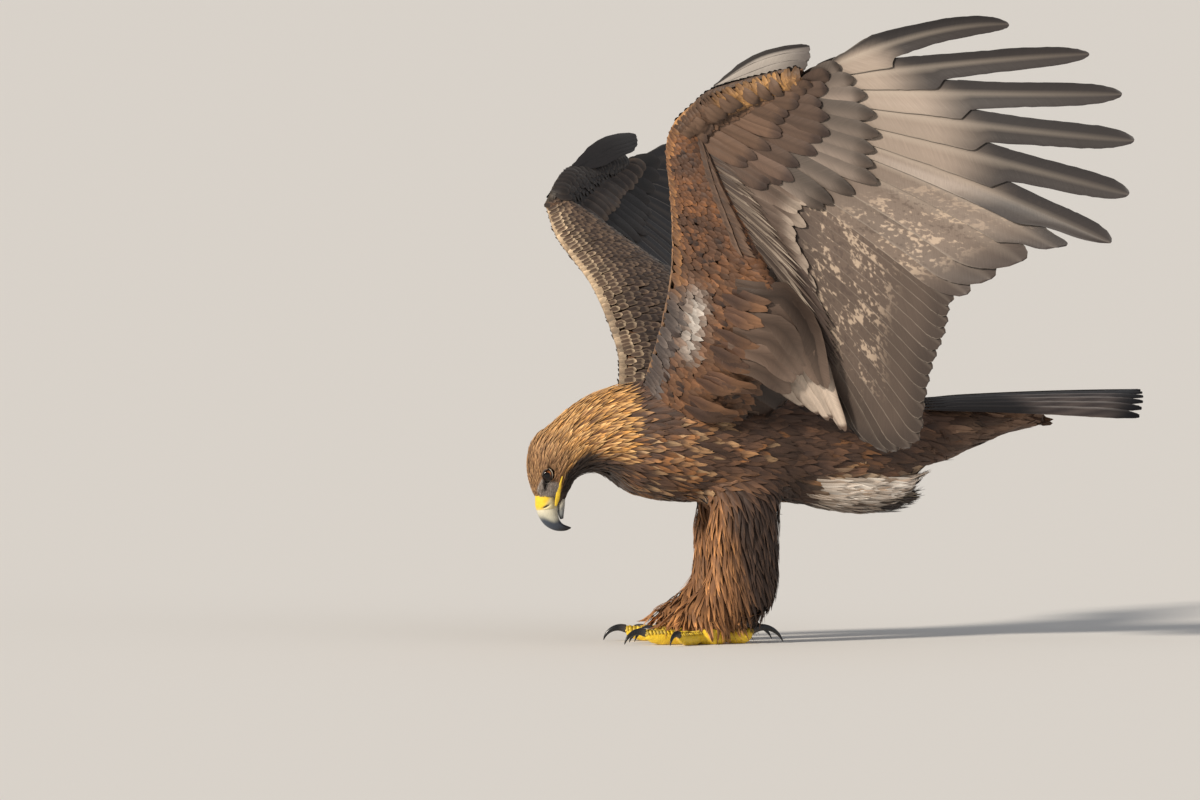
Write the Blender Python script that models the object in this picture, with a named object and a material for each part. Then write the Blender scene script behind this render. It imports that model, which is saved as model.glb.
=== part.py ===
"""Golden eagle, life size: standing with its head bowed and both wings half raised.

The bird faces -X and its left side is -Y. Sizes below are in millimetres from a point on the
floor under the middle of the trunk, and MM turns them into metres. Once all is made, the origin
moves to the middle of the floor space that the whole bird takes up.
"""

import math

import bmesh
import bpy
import numpy as np

MM = 0.001
GAP = 0.3
LEFT, RIGHT = -1, 1
SIDE_NAMES = {LEFT: "left", RIGHT: "right"}

# The pose was measured across, into and up a view, turned from square on and looking a little down
VIEW_TURN = math.radians(-15)
VIEW_DOWN = math.radians(1.7)

# Body line from rump to face: x, z, nod in degrees, height above and below it, half width
BODY_LINE = (
    (214, 262, 0, 36, 70, 34),
    (196, 261, 0, 40, 96, 43),
    (160, 260, 0, 47, 109, 54),
    (115, 254, 0, 58, 100, 63),
    (60, 248, 0, 69, 85, 73),
    (0, 245, 0, 77, 80, 80),
    (-60, 246, 0, 78, 81, 83),
    (-110, 247, 0, 74, 79, 76),
    (-145, 248, 2, 66, 71, 63),
    (-176, 249, 10, 55, 54, 51),
    (-205, 240, 30, 43, 42, 42),
    (-228, 222, 55, 40, 37, 36),
    (-237, 203, 80, 31, 31, 30),
    (-237.5, 185, 90, 25, 25, 24),
    (-238.5, 174, 92, 18.5, 18, 17.5),
)
RUMP_END, TRUNK_END, NECK_END = 2.6, 8.0, 10.7
BODY_FULLNESS = 2.15

# Face: each row is the culmen side and the throat side (x, z), then the half width
CERE_ROWS = (
    ((-257.0, 172.5), (-230.0, 173.2), 15.0),
    ((-256.4, 167.0), (-229.8, 168.5), 13.0),
    ((-255.0, 160.4), (-230.0, 163.6), 11.0),
)
BILL_ROWS = (
    ((-254.9, 160.0), (-230.0, 163.2), 10.5),
    ((-251.2, 151.0), (-228.6, 154.6), 9.4),
    ((-243.8, 141.8), (-226.2, 148.0), 7.4),
    ((-232.5, 136.0), (-222.6, 144.0), 4.8),
    ((-220.0, 135.4), (-217.0, 141.4), 2.6),
    ((-212.8, 138.2), (-212.4, 139.8), 0.8),
)
LOWER_BILL_ROWS = (
    ((-229.2, 173.2), (-220.6, 173.4), 13.0),
    ((-229.2, 164.0), (-220.8, 165.0), 9.6),
    ((-228.0, 155.0), (-221.6, 156.5), 6.8),
    ((-225.6, 149.4), (-221.9, 150.6), 3.4),
)
EYE_CENTRE = (-246.5, 20.0, 204.0)
EYE_RADIUS = 9.2

# Legs, from inside the belly down: x, z, reach forward, reach back, half width
LEG_SPREAD = 50
STEP_BACK = {LEFT: 0, RIGHT: 10}
THIGH_ROWS = (
    (-4, 196, 44, 42, 30),
    (-8, 165, 48, 46, 34),
    (-11, 140, 50, 47, 33),
    (-12, 115, 49, 48, 30),
    (-14, 92, 46, 49, 26),
)
TARSUS_ROWS = (
    (-14, 91.7, 46, 49, 26),
    (-20, 74, 44, 52, 24),
    (-32, 56, 52, 62, 23),
    (-46, 40, 64, 62, 22),
    (-54, 27.6, 54, 44, 20),
)
FOOT_CENTRE_X = -56
FOOT_RADIUS = 23
FOOT_HEIGHT = 26
TOE_START = 26.4
# Toes: direction from straight ahead towards the outside in degrees, length, half width, claw length
TOES = {
    "inner": (-27, 40, 8.0, 38),
    "middle": (9, 57, 8.2, 34),
    "outer": (46, 46, 7.6, 29),
    "hind": (184, 30, 8.6, 48),
}
CLAW_TURN = math.radians(100)
CLAW_TIP_HEIGHT = 1.2

# Near wing, as across, into and up the view
LEADING_EDGE = {
    LEFT: ((-120, -52, 312), (-100, -95, 379), (-87, -125, 448), (-87, -155, 517),
           (-93, -180, 593), (-84, -195, 622)),
    RIGHT: ((-150, 24, 306), (-150, 60, 345), (-166, 105, 394), (-187, 155, 437),
            (-226, 215, 490), (-238, 256, 530)),
}
BONE_LINE = {
    LEFT: ((-25, -82, 268), (14, -140, 330), (38, -196, 404), (8, -200, 475), (-28, -197, 548),
           (-56, -193, 612)),
    RIGHT: ((-60, 58, 268), (-54, 120, 330), (-50, 184, 396), (-86, 205, 440), (-150, 232, 488),
            (-205, 254, 526)),
}
HAND_FRONT = ((-84, -195.5, 623), (-58, -212, 648), (-38, -230, 661), (20, -255, 678), (76, -280, 692))
HAND_REAR = ((-56, -193.5, 613), (-25, -212, 628), (5, -232, 643), (40, -255, 658), (76, -279, 672))
QUILL_START = 0.004
ARM_HALF_THICKNESS = (22, 17, 14, 13, 12, 10)
HAND_HALF_THICKNESS = (9.5, 8, 7, 5.5, 3)
# The far wing is held lower, so its hand and its feathers are rolled outwards by these angles
HAND_ROLL = {LEFT: 0, RIGHT: math.radians(8)}
FEATHER_ROLL = {LEFT: 0, RIGHT: math.radians(28)}
ALULA = ((-36, -226, 660), (24, -243, 690), (78, -264, 702))
ALULA_HALF_WIDTH = 16

PRIMARY_TIPS = ((264, -330, 415), (292, -350, 433), (328, -380, 454), (367, -410, 470),
                (431, -450, 475), (452, -470, 532), (458, -480, 595), (444, -470, 650),
                (406, -450, 698), (312, -404, 734))
PRIMARY_SAG = (0, 0, 0, 2, 6, 13, 16, 11, 3, -11)
# How far along each feather its gap to the next one outward begins
PRIMARY_SLOTS = (0.95, 0.95, 0.93, 0.88, 0.68, 0.59, 0.54, 0.475, 0.36)
SECONDARY_EDGE = ((245, -310, 406), (240, -285, 372), (226, -255, 333), (217, -215, 290),
                  (209, -170, 240), (172, -132, 227))
SECONDARIES = 15
TERTIAL_EDGE = ((146, -120, 240), (128, -110, 258), (104, -104, 284), (60, -98, 306))
TERTIALS = 5
QUILL_SLOT = 0.96
TERTIAL_SLOT = 0.86
WING_CAMBER = 0.05
VANE_THICKNESS = 1.0
OUTER_VANE = 10

# Tail: two lines of quills, roots and tips, spread over an arch
TAIL_FEATHERS = 12
TAIL_ROOT_X, TAIL_TIP_X, TAIL_EDGE_TIP_X = 214.6, 497, 478
TAIL_ROOT_HALF_WIDTH, TAIL_TIP_HALF_WIDTH = 25, 66
TAIL_ROOT_Z, TAIL_TIP_Z = 288, 296
TAIL_ROOT_DROOP, TAIL_TIP_DROOP = 8, 26
TAIL_THICKNESS = 2.0
UNDERTAIL_LINE = (
    (214.3, 248, 0, 34, 46, 36),
    (246, 250, 0, 33, 40, 35),
    (286, 260, 0, 25, 32, 32),
    (334, 272, 0, 15, 25, 26),
    (376, 274, 0, 12, 21, 16),
)

COLOURS = {
    "brown": (0.085, 0.042, 0.022),
    "tawny": (0.42, 0.20, 0.07),
    "rufous": (0.22, 0.09, 0.035),
    "buff": (0.36, 0.25, 0.16),
    "quill": (0.10, 0.075, 0.06),
    "cere": (0.80, 0.55, 0.04),
    "horn": (0.14, 0.17, 0.20),
    "iris": (0.16, 0.06, 0.02),
    "claw": (0.02, 0.02, 0.022),
}


def from_view(across, into, up):
    """World place of a point measured across, into and up the turned view."""
    cos, sin = math.cos(VIEW_TURN), math.sin(VIEW_TURN)
    height = (up - into * math.sin(VIEW_DOWN)) / math.cos(VIEW_DOWN)
    return np.array((across * cos - into * sin, across * sin + into * cos, height))


def unit(vector):
    return vector / np.linalg.norm(vector)


def spline(points, share):
    """Catmull-Rom curve through the points, with share from 0 at the first to 1 at the last."""
    points = np.asarray(points, float)
    last = len(points) - 1
    place = min(max(share, 0.0), 1.0) * last
    i = min(int(place), last - 1)
    f = place - i
    before, a, b, after = (points[j] for j in (max(i - 1, 0), i, i + 1, min(i + 2, last)))
    return 0.5 * (
        2 * a
        + (b - before) * f
        + (2 * before - 5 * a + 4 * b - after) * f**2
        + (3 * a - before - 3 * b + after) * f**3
    )


def finish(name, points, faces, colour, roughness=0.7):
    """A closed mesh object from points in millimetres, with its own material and faces outward."""
    mesh = bpy.data.meshes.new(name)
    mesh.from_pydata([tuple(np.asarray(p) * MM) for p in points], [], faces)
    shape = bmesh.new()
    shape.from_mesh(mesh)
    bmesh.ops.recalc_face_normals(shape, faces=shape.faces)
    shape.to_mesh(mesh)
    shape.free()
    mesh.shade_smooth()
    obj = bpy.data.objects.new(name, mesh)
    bpy.context.scene.collection.objects.link(obj)
    material = bpy.data.materials.new(name)
    material.use_nodes = True
    shader = material.node_tree.nodes["Principled BSDF"]
    shader.inputs["Base Color"].default_value = (*COLOURS[colour], 1)
    shader.inputs["Roughness"].default_value = roughness
    shader.inputs["Metallic"].default_value = 0
    mesh.materials.append(material)
    return obj


def loft(name, rings, colour, roughness=0.7):
    """A solid skinned over rings of equally many points, with flat ends."""
    count = len(rings[0])
    points = [point for ring in rings for point in ring]
    faces = []
    for row in range(len(rings) - 1):
        for k in range(count):
            after = (k + 1) % count
            faces.append((row * count + k, row * count + after,
                          (row + 1) * count + after, (row + 1) * count + k))
    faces.append(tuple(range(count))[::-1])
    faces.append(tuple((len(rings) - 1) * count + k for k in range(count)))
    return finish(name, points, faces, colour, roughness)


def oval(centre, side, up, half_width, above, below, count, fullness=2.0):
    """Ring of points round centre in the plane of side and up."""
    ring = []
    for k in range(count):
        angle = 2 * math.pi * (k + 0.5) / count
        across, rise = math.cos(angle), math.sin(angle)
        across = math.copysign(abs(across) ** (2 / fullness), across) * half_width
        rise = math.copysign(abs(rise) ** (2 / fullness), rise) * (above if rise > 0 else below)
        ring.append(centre + side * across + up * rise)
    return ring


def line_ring(line, row, shift=0.0, count=20):
    """Section of a body line at a fractional row, moved along the line by shift."""
    x, z, nod, above, below, half_width = spline(line, row / (len(line) - 1))
    nod = math.radians(nod)
    ahead = np.array((-math.cos(nod), 0, -math.sin(nod)))
    up = np.array((-math.sin(nod), 0, math.cos(nod)))
    centre = np.array((x, 0, z)) + ahead * shift
    return oval(centre, np.array((0, 1.0, 0)), up, half_width, above, below, count, BODY_FULLNESS)


def body_piece(name, line, first, last, steps, colour, count=20):
    """One length of a body line, half a gap short at each end."""
    rings = []
    for i in range(steps + 1):
        shift = GAP / 2 if i == 0 else -GAP / 2 if i == steps else 0
        rings.append(line_ring(line, first + (last - first) * i / steps, shift, count))
    return loft(name, rings, colour)


def clear_of(obj, other, gap=GAP):
    """Cuts from obj the room that other takes, with a gap all round."""
    cutter = other.copy()
    cutter.data = other.data.copy()
    cutter.name = f"room_{obj.name}_{other.name}"
    bpy.context.scene.collection.objects.link(cutter)
    cutter.hide_render = True
    cutter.display_type = "WIRE"
    swell = cutter.modifiers.new("swell", "DISPLACE")
    swell.strength = gap * MM
    swell.mid_level = 0
    cut = obj.modifiers.new(cutter.name, "BOOLEAN")
    cut.operation = "DIFFERENCE"
    cut.object = cutter


def face_ring(row, count=12):
    """Section of the face between its culmen side and its throat side."""
    (x1, z1), (x2, z2), half_width = row
    front, back = np.array((x1, 0, z1)), np.array((x2, 0, z2))
    half = (front - back) / 2
    reach = np.linalg.norm(half)
    return oval((front + back) / 2, np.array((0, 1.0, 0)), half / reach, half_width, reach, reach, count)


def face_piece(name, rows, steps, colour, roughness):
    flat = [(*row[0], *row[1], row[2]) for row in rows]
    rings = []
    for i in range(steps + 1):
        x1, z1, x2, z2, half_width = spline(flat, i / steps)
        rings.append(face_ring(((x1, z1), (x2, z2), half_width)))
    return loft(name, rings, colour, roughness)


def make_head():
    head = body_piece("head", BODY_LINE, NECK_END, len(BODY_LINE) - 1, 7, "tawny")
    face_piece("cere", CERE_ROWS, 3, "cere", 0.45)
    face_piece("bill_upper", BILL_ROWS, 8, "horn", 0.3)
    face_piece("bill_lower", LOWER_BILL_ROWS, 5, "horn", 0.35)
    for side in (LEFT, RIGHT):
        x, y, z = EYE_CENTRE
        eye = ball(f"eye_{SIDE_NAMES[side]}", np.array((x, side * y, z)), EYE_RADIUS, "iris", 0.05)
        clear_of(head, eye)


def ball(name, centre, radius, colour, roughness, rows=6, count=12):
    """A round ball with its poles cut a little flat."""
    rings = []
    for i in range(rows):
        angle = math.pi * (i + 0.35) / (rows - 0.3)
        ring_radius = radius * math.sin(angle)
        level = centre + np.array((0, radius * math.cos(angle), 0))
        rings.append(oval(level, np.array((1.0, 0, 0)), np.array((0, 0, 1.0)),
                          ring_radius, ring_radius, ring_radius, count))
    return loft(name, rings, colour, roughness)


def leg_piece(name, rows, side, steps, colour):
    rings = []
    for i in range(steps + 1):
        x, z, ahead, back, half_width = spline(rows, i / steps)
        centre = np.array((x + STEP_BACK[side], side * LEG_SPREAD, z))
        rings.append(oval(centre, np.array((0, 1.0, 0)), np.array((-1.0, 0, 0)),
                          half_width, ahead, back, 14, 2.3))
    return loft(name, rings, colour)


def make_leg(side, trunk):
    name = SIDE_NAMES[side]
    thigh = leg_piece(f"thigh_{name}", THIGH_ROWS, side, 6, "rufous")
    clear_of(thigh, trunk)
    leg_piece(f"tarsus_{name}", TARSUS_ROWS, side, 6, "rufous")
    make_foot(name, side)
    for toe in TOES:
        make_toe(toe, side)


def foot_centre(side):
    return np.array((FOOT_CENTRE_X + STEP_BACK[side], side * LEG_SPREAD, 0.0))


def make_foot(name, side):
    """The short ball of the foot that all four toes leave from, flat underneath."""
    rings = []
    for height, share in ((0, 0.82), (4, 0.97), (14, 1.0), (22, 0.9), (FOOT_HEIGHT, 0.62)):
        centre = foot_centre(side) + np.array((0, 0, height))
        radius = FOOT_RADIUS * share
        rings.append(oval(centre, np.array((1.0, 0, 0)), np.array((0, 1.0, 0)), radius, radius, radius, 12))
    loft(f"foot_{name}", rings, "cere", 0.5)


def toe_axes(toe, side):
    """Direction of a toe away from the foot, and the direction across it."""
    turn = math.radians(TOES[toe][0])
    along = np.array((-math.cos(turn), side * math.sin(turn), 0))
    return along, np.array((-along[1], along[0], 0))


def make_toe(toe, side):
    """A padded toe with a flat sole and a raised last joint, and its claw."""
    along, across = toe_axes(toe, side)
    length, half_width, claw_length = TOES[toe][1:]
    base = foot_centre(side)
    up = np.array((0, 0, 1.0))
    rings = []
    # Share of the length, height of the middle and radius, as shares of the half width
    for share, height, radius in ((0, 1.1, 0.92), (0.2, 1.15, 1.06), (0.4, 1.08, 0.94),
                                  (0.6, 1.15, 1.06), (0.8, 1.25, 0.9), (0.92, 1.55, 0.82),
                                  (1.0, 1.75, 0.62)):
        centre = base + along * (TOE_START + share * length) + up * height * half_width
        radius *= half_width
        ring = oval(centre, across, up, radius, radius, 1.3 * radius, 10)
        rings.append([np.array((p[0], p[1], max(p[2], 0.0))) for p in ring])
    loft(f"toe_{toe}_{SIDE_NAMES[side]}", rings, "cere", 0.5)

    start = base + along * (TOE_START + length + GAP) + up * 1.75 * half_width
    drop = start[2] - CLAW_TIP_HEIGHT
    half_turn = CLAW_TURN / 2
    heading = half_turn - math.asin(drop * half_turn / (claw_length * math.sin(half_turn)))
    rings = []
    steps = 6
    point = start
    for i in range(steps + 1):
        share = i / steps
        slope = heading - CLAW_TURN * share
        normal = -along * math.sin(slope) + up * math.cos(slope)
        thick = 0.62 * half_width * (1 - share) ** 0.75 + 0.35
        if i:
            halfway = slope + CLAW_TURN / steps / 2
            point = point + (along * math.cos(halfway) + up * math.sin(halfway)) * claw_length / steps
        section_normal = up if i == 0 else normal
        rings.append(oval(point, across, section_normal, 0.72 * thick, thick, thick, 8))
    loft(f"claw_{toe}_{SIDE_NAMES[side]}", rings, "claw", 0.25)


def lens(front, rear, ahead, half_thickness, count=10):
    """Flat oval section of the arm from its front edge to its rear edge."""
    chord = rear - front
    reach = np.linalg.norm(chord) / 2
    normal = unit(np.cross(chord, ahead))
    return oval((front + rear) / 2, chord / (2 * reach), normal, reach, half_thickness, half_thickness, count)


def arm_plate(name, front_at, rear_at, thickness, first, last, steps, colour):
    """Flattened arm from share first to share last of its front and rear lines."""

    def middle(share):
        return (front_at(share) + rear_at(share)) / 2

    rings = []
    for i in range(steps + 1):
        share = first + (last - first) * i / steps
        ahead = unit(middle(min(share + 0.02, 1)) - middle(max(share - 0.02, 0)))
        shift = ahead * (GAP / 2 if i == 0 else -GAP / 2 if i == steps else 0)
        half = float(spline([(t,) for t in thickness], share)[0])
        rings.append(lens(front_at(share) + shift, rear_at(share) + shift, ahead, half))
    return loft(name, rings, colour)


def rolled(vector, side, angle):
    """A vector of a wing turned down and outwards about the body's length."""
    x, y, z = vector
    out = side * y
    return np.array((x, side * (out * math.cos(angle) + z * math.sin(angle)),
                     z * math.cos(angle) - out * math.sin(angle)))


class Wing:
    """Lines and feathers of one wing. The far wing carries the near wing's hand and feathers mirrored."""

    def __init__(self, side):
        self.side = side

    def bone(self, share):
        return from_view(*spline(BONE_LINE[self.side], share))

    def near_bone(self, share):
        return from_view(*spline(BONE_LINE[LEFT], share)) * (1, -self.side, 1)

    def front(self, share):
        return from_view(*spline(LEADING_EDGE[self.side], share))

    def hand(self, line, share):
        """A point of the hand, placed from the wrist on."""
        reach = from_view(*spline(line, share)) * (1, -self.side, 1) - self.near_bone(1)
        return self.bone(1) + rolled(reach, self.side, HAND_ROLL[self.side])

    def hand_front(self, share):
        return self.hand(HAND_FRONT, share)

    def hand_rear(self, share):
        return self.hand(HAND_REAR, share)

    def feather(self, root, near_root, tip, sag=0.0):
        """A feather with the near wing's own length and direction, on this wing's root."""
        reach = from_view(*tip) * (1, -self.side, 1) - near_root
        return {"root": root, "tip": root + rolled(reach, self.side, FEATHER_ROLL[self.side]), "sag": sag}

    def feathers(self):
        """All flight feathers from the body out to the wing's tip."""
        found = []
        for i in range(TERTIALS):
            share = 0.20 + 0.28 * i / (TERTIALS - 1)
            tip = spline(TERTIAL_EDGE[::-1], i / (TERTIALS - 1))
            found.append(self.feather(self.bone(share), self.near_bone(share), tip))
        for i in reversed(range(SECONDARIES)):
            share = 0.98 - 0.44 * i / (SECONDARIES - 1)
            tip = spline(SECONDARY_EDGE, i / (SECONDARIES - 1))
            found.append(self.feather(self.bone(share), self.near_bone(share), tip))
        for i, tip in enumerate(PRIMARY_TIPS):
            share = 0.04 + 0.92 * i / (len(PRIMARY_TIPS) - 1)
            near_root = from_view(*spline(HAND_REAR, share)) * (1, -self.side, 1)
            found.append(self.feather(self.hand_rear(share), near_root, tip, PRIMARY_SAG[i]))
        return found


def vane_fan(name, feathers, slots, first, last, normal, camber, thickness, rows):
    """The feathers from first up to last as one thin sheet with a separate tip for each.

    slots has, for each pair of neighbours, the share of their length at which they part, and
    rows says how many rows of faces lie before and after that."""
    palm_rows, tip_rows = rows
    all_rows = palm_rows + tip_rows

    def middle(i, share):
        feather = feathers[i]
        reach = feather["tip"] - feather["root"]
        bulge = 4 * share * (1 - share)
        point = feather["root"] + reach * share + normal * camber * np.linalg.norm(reach) * bulge
        return point - np.array((0, 0, 1)) * feather["sag"] * bulge

    def boundary(i, share):
        """Line between feathers i and i + 1, or half a feather beyond the end ones."""
        if 0 <= i < len(feathers) - 1:
            return (middle(i, share) + middle(i + 1, share)) / 2
        own, beside = (0, 1) if i < 0 else (i, i - 1)
        outward = middle(own, share) - middle(beside, share)
        return middle(own, share) + unit(outward) * max(np.linalg.norm(outward) / 2, OUTER_VANE)

    def slot(i):
        return slots[min(max(i, 0), len(slots) - 1)]

    def edge(feather, line, row):
        """Point of a feather's edge: on the shared boundary, then on the tip's own outline."""
        parting = slot(line)
        if row <= palm_rows:
            point = boundary(line, QUILL_START + (parting - QUILL_START) * row / palm_rows)
            own = feather in (first, last - 1) and line in (first - 1, last - 1)
            if own and 0 <= line < len(feathers) - 1:
                inward = middle(feather, parting * row / palm_rows + 0.02) - point
                point = point + unit(inward) * GAP
            return point
        share = math.sin(math.pi / 2 * (row - palm_rows) / (tip_rows + 0.6))
        narrow = (1 - share**4) ** 0.5 * (1 - 0.15 * min(share * 3, 1))
        spread = boundary(line, parting) - middle(feather, parting)
        return middle(feather, parting + (1 - parting) * share) + spread * narrow

    points, faces, shared = [], [], {}

    def vertex(place, key=None):
        if key is not None and key in shared:
            return shared[key]
        points.append(place)
        if key is not None:
            shared[key] = len(points) - 1
        return len(points) - 1

    for feather in range(first, last):
        columns = []
        for line in (feather - 1, feather):
            columns.append([vertex(edge(feather, line, row), (line, row) if row <= palm_rows else None)
                            for row in range(all_rows + 1)])
        parting = (slot(feather - 1) + slot(feather)) / 2
        spine = []
        for row in range(all_rows + 1):
            share = QUILL_START + (parting - QUILL_START) * row / palm_rows
            if row > palm_rows:
                share = parting + (1 - parting) * math.sin(
                    math.pi / 2 * (row - palm_rows) / (tip_rows + 0.6))
            spine.append(vertex(middle(feather, share)))
        tip = vertex(feathers[feather]["tip"])
        for row in range(all_rows):
            faces.append((columns[0][row], spine[row], spine[row + 1], columns[0][row + 1]))
            faces.append((spine[row], columns[1][row], columns[1][row + 1], spine[row + 1]))
        faces.append((columns[0][all_rows], spine[all_rows], tip))
        faces.append((spine[all_rows], columns[1][all_rows], tip))
    obj = finish(name, points, faces, "quill")
    solid = obj.modifiers.new("thickness", "SOLIDIFY")
    solid.thickness = thickness * MM
    solid.offset = 0
    return obj


def make_wing(side, trunk):
    name = SIDE_NAMES[side]
    wing = Wing(side)
    upper = arm_plate(f"upper_arm_{name}", wing.front, wing.bone, ARM_HALF_THICKNESS,
                      0.0, 0.42, 5, "rufous")
    clear_of(upper, trunk)
    forearm = arm_plate(f"forearm_{name}", wing.front, wing.bone, ARM_HALF_THICKNESS,
                        0.42, 1.0, 7, "rufous")
    hand = arm_plate(f"hand_{name}", wing.hand_front, wing.hand_rear, HAND_HALF_THICKNESS,
                     0.0, 1.0, 6, "rufous")
    clear_of(hand, forearm)
    feathers = wing.feathers()
    across = feathers[TERTIALS]["tip"] - feathers[-5]["tip"]
    normal = unit(np.cross(across, feathers[TERTIALS + 6]["tip"] - feathers[TERTIALS + 6]["root"]))
    normal = normal * math.copysign(1, -side * normal[1])
    slots = [TERTIAL_SLOT] * TERTIALS + [QUILL_SLOT] * SECONDARIES + list(PRIMARY_SLOTS)
    first = 0
    for group, count, rows in (("tertials", TERTIALS, (2, 2)), ("secondaries", SECONDARIES, (2, 2)),
                               ("primaries", len(PRIMARY_TIPS), (2, 4))):
        fan = vane_fan(f"{group}_{name}", feathers, slots, first, first + count, normal,
                       WING_CAMBER, VANE_THICKNESS, rows)
        if group == "primaries":
            clear_of(fan, hand)
        first += count
    clear_of(make_alula(wing, name, normal), hand)


def make_alula(wing, name, normal):
    """The short feathers of the thumb, as one leaf on the wrist's upper side."""
    rings = []
    steps = 6
    for i in range(steps + 1):
        share = i / steps
        centre = wing.hand(ALULA, share)
        ahead = unit(wing.hand(ALULA, min(share + 0.02, 1)) - wing.hand(ALULA, max(share - 0.02, 0)))
        width = ALULA_HALF_WIDTH * (0.35 + 0.65 * math.sin(math.pi * (0.12 + 0.8 * share)))
        rings.append(oval(centre + normal * 4, unit(np.cross(normal, ahead)), normal, width, 1.6, 1.6, 8))
    return loft(f"alula_{name}", rings, "quill")


def make_tail():
    """Closed tail, arched across, and the coverts under its base."""
    feathers = []
    for i in range(TAIL_FEATHERS):
        share = 2 * i / (TAIL_FEATHERS - 1) - 1
        droop = share * share
        root = np.array((TAIL_ROOT_X, share * TAIL_ROOT_HALF_WIDTH, TAIL_ROOT_Z - TAIL_ROOT_DROOP * droop))
        tip_x = TAIL_TIP_X + (TAIL_EDGE_TIP_X - TAIL_TIP_X) * droop
        tip = np.array((tip_x, share * TAIL_TIP_HALF_WIDTH, TAIL_TIP_Z - TAIL_TIP_DROOP * droop))
        feathers.append({"root": root, "tip": tip, "sag": 0.0})
    up = np.array((0, 0, 1.0))
    tail = vane_fan("tail", feathers, [0.95] * TAIL_FEATHERS, 0, TAIL_FEATHERS, up, 0.008,
                    TAIL_THICKNESS, (2, 2))
    coverts = body_piece("undertail_coverts", UNDERTAIL_LINE, 0, len(UNDERTAIL_LINE) - 1, 7, "brown", 18)
    clear_of(coverts, tail)


def move_origin():
    """Sets every object so that the origin is at the middle of the bird's floor space."""
    bpy.context.view_layer.update()
    graph = bpy.context.evaluated_depsgraph_get()
    corners = []
    for obj in bpy.context.scene.objects:
        if not obj.hide_render:
            corners.extend(vertex.co.copy() for vertex in obj.evaluated_get(graph).data.vertices)
    corners = np.array(corners)
    middle = (corners.min(axis=0) + corners.max(axis=0)) / 2
    for obj in bpy.context.scene.objects:
        obj.location = (-middle[0], -middle[1], 0)


def main():
    for obj in list(bpy.data.objects):
        bpy.data.objects.remove(obj)
    body_piece("rump", BODY_LINE, 0, RUMP_END, 4, "brown")
    trunk = body_piece("trunk", BODY_LINE, RUMP_END, TRUNK_END, 9, "brown")
    body_piece("neck", BODY_LINE, TRUNK_END, NECK_END, 5, "tawny")
    make_head()
    make_tail()
    for side in (LEFT, RIGHT):
        make_leg(side, trunk)
        make_wing(side, trunk)
    move_origin()


main()
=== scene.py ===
"""Looks of the golden eagle: one skin, its plumage, bill, eyes, feet and claws, on a plain stage.

Lengths are in millimetres in the bird's own frame. It faces -X, its left side is -Y, and its
feet stand at height 0 under the middle of the trunk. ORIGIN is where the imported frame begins.
"""

import functools
import math

import bmesh
import bpy
import numpy as np
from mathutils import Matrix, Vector, kdtree, noise as noises
from mathutils.bvhtree import BVHTree


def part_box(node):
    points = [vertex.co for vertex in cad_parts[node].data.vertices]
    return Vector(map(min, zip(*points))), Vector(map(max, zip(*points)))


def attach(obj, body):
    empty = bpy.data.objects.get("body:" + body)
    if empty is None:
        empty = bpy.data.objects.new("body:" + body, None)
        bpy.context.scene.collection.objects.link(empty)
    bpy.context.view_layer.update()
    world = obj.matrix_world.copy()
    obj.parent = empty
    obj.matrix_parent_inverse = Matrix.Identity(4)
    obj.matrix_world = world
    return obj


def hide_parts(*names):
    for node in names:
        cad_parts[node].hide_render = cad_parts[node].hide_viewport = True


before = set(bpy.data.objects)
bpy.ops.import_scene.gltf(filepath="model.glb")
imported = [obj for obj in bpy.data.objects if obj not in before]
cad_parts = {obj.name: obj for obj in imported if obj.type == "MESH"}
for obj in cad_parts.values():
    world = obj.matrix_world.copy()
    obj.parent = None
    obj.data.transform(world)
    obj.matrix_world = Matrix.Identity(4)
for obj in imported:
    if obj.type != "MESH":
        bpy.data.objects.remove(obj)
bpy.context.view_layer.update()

MM = 0.001
LEFT, RIGHT = -1, 1
SIDE_NAMES = {LEFT: "left", RIGHT: "right"}
VIEW_TURN = math.radians(-15)
VIEW_DOWN = math.radians(1.7)
UP = np.array((0.0, 0.0, 1.0))

# The body's line, from the tail to the bill: x, z, nod in degrees, reach above, below and half width
BODY_LINE = (
    (214, 262, 0, 36, 70, 34),
    (196, 261, 0, 40, 96, 43),
    (160, 260, 0, 47, 109, 54),
    (115, 254, 0, 58, 100, 63),
    (60, 248, 0, 69, 85, 73),
    (0, 245, 0, 77, 80, 80),
    (-60, 246, 0, 78, 81, 83),
    (-110, 247, 0, 74, 79, 76),
    (-145, 248, 2, 66, 71, 63),
    (-176, 249, 10, 55, 54, 51),
    (-205, 240, 30, 43, 42, 42),
    (-228, 222, 55, 40, 37, 36),
    (-237, 203, 80, 31, 31, 30),
    (-237.5, 185, 90, 25, 25, 24),
    (-238.5, 174, 92, 18.5, 18, 17.5),
)
LAST_ROW = len(BODY_LINE) - 1

# Face: culmen side x, z, throat side x, z, then the half width
CERE_ROWS = (
    (-256.2, 178.5, -231.0, 178.0, 15.8),
    (-256.4, 167.0, -229.8, 168.5, 13.2),
    (-255.0, 160.4, -230.0, 163.6, 11.0),
)
BILL_ROWS = (
    (-254.4, 162.5, -230.2, 165.4, 10.4),
    (-254.9, 160.0, -230.0, 163.2, 10.5),
    (-251.2, 151.0, -228.6, 154.6, 9.4),
    (-243.8, 141.8, -226.2, 148.0, 7.4),
    (-232.5, 136.0, -222.6, 144.0, 4.8),
    (-220.0, 135.4, -217.0, 141.4, 2.6),
    (-212.8, 138.2, -212.4, 139.8, 0.7),
)
LOWER_BILL_ROWS = (
    (-229.2, 174.0, -220.6, 174.2, 13.0),
    (-229.2, 164.0, -220.8, 165.0, 9.6),
    (-228.0, 155.0, -221.6, 156.5, 6.8),
    (-225.6, 149.4, -221.9, 150.6, 3.4),
)
EYE_CENTRE = (-246.5, 20.0, 204.0)
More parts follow.
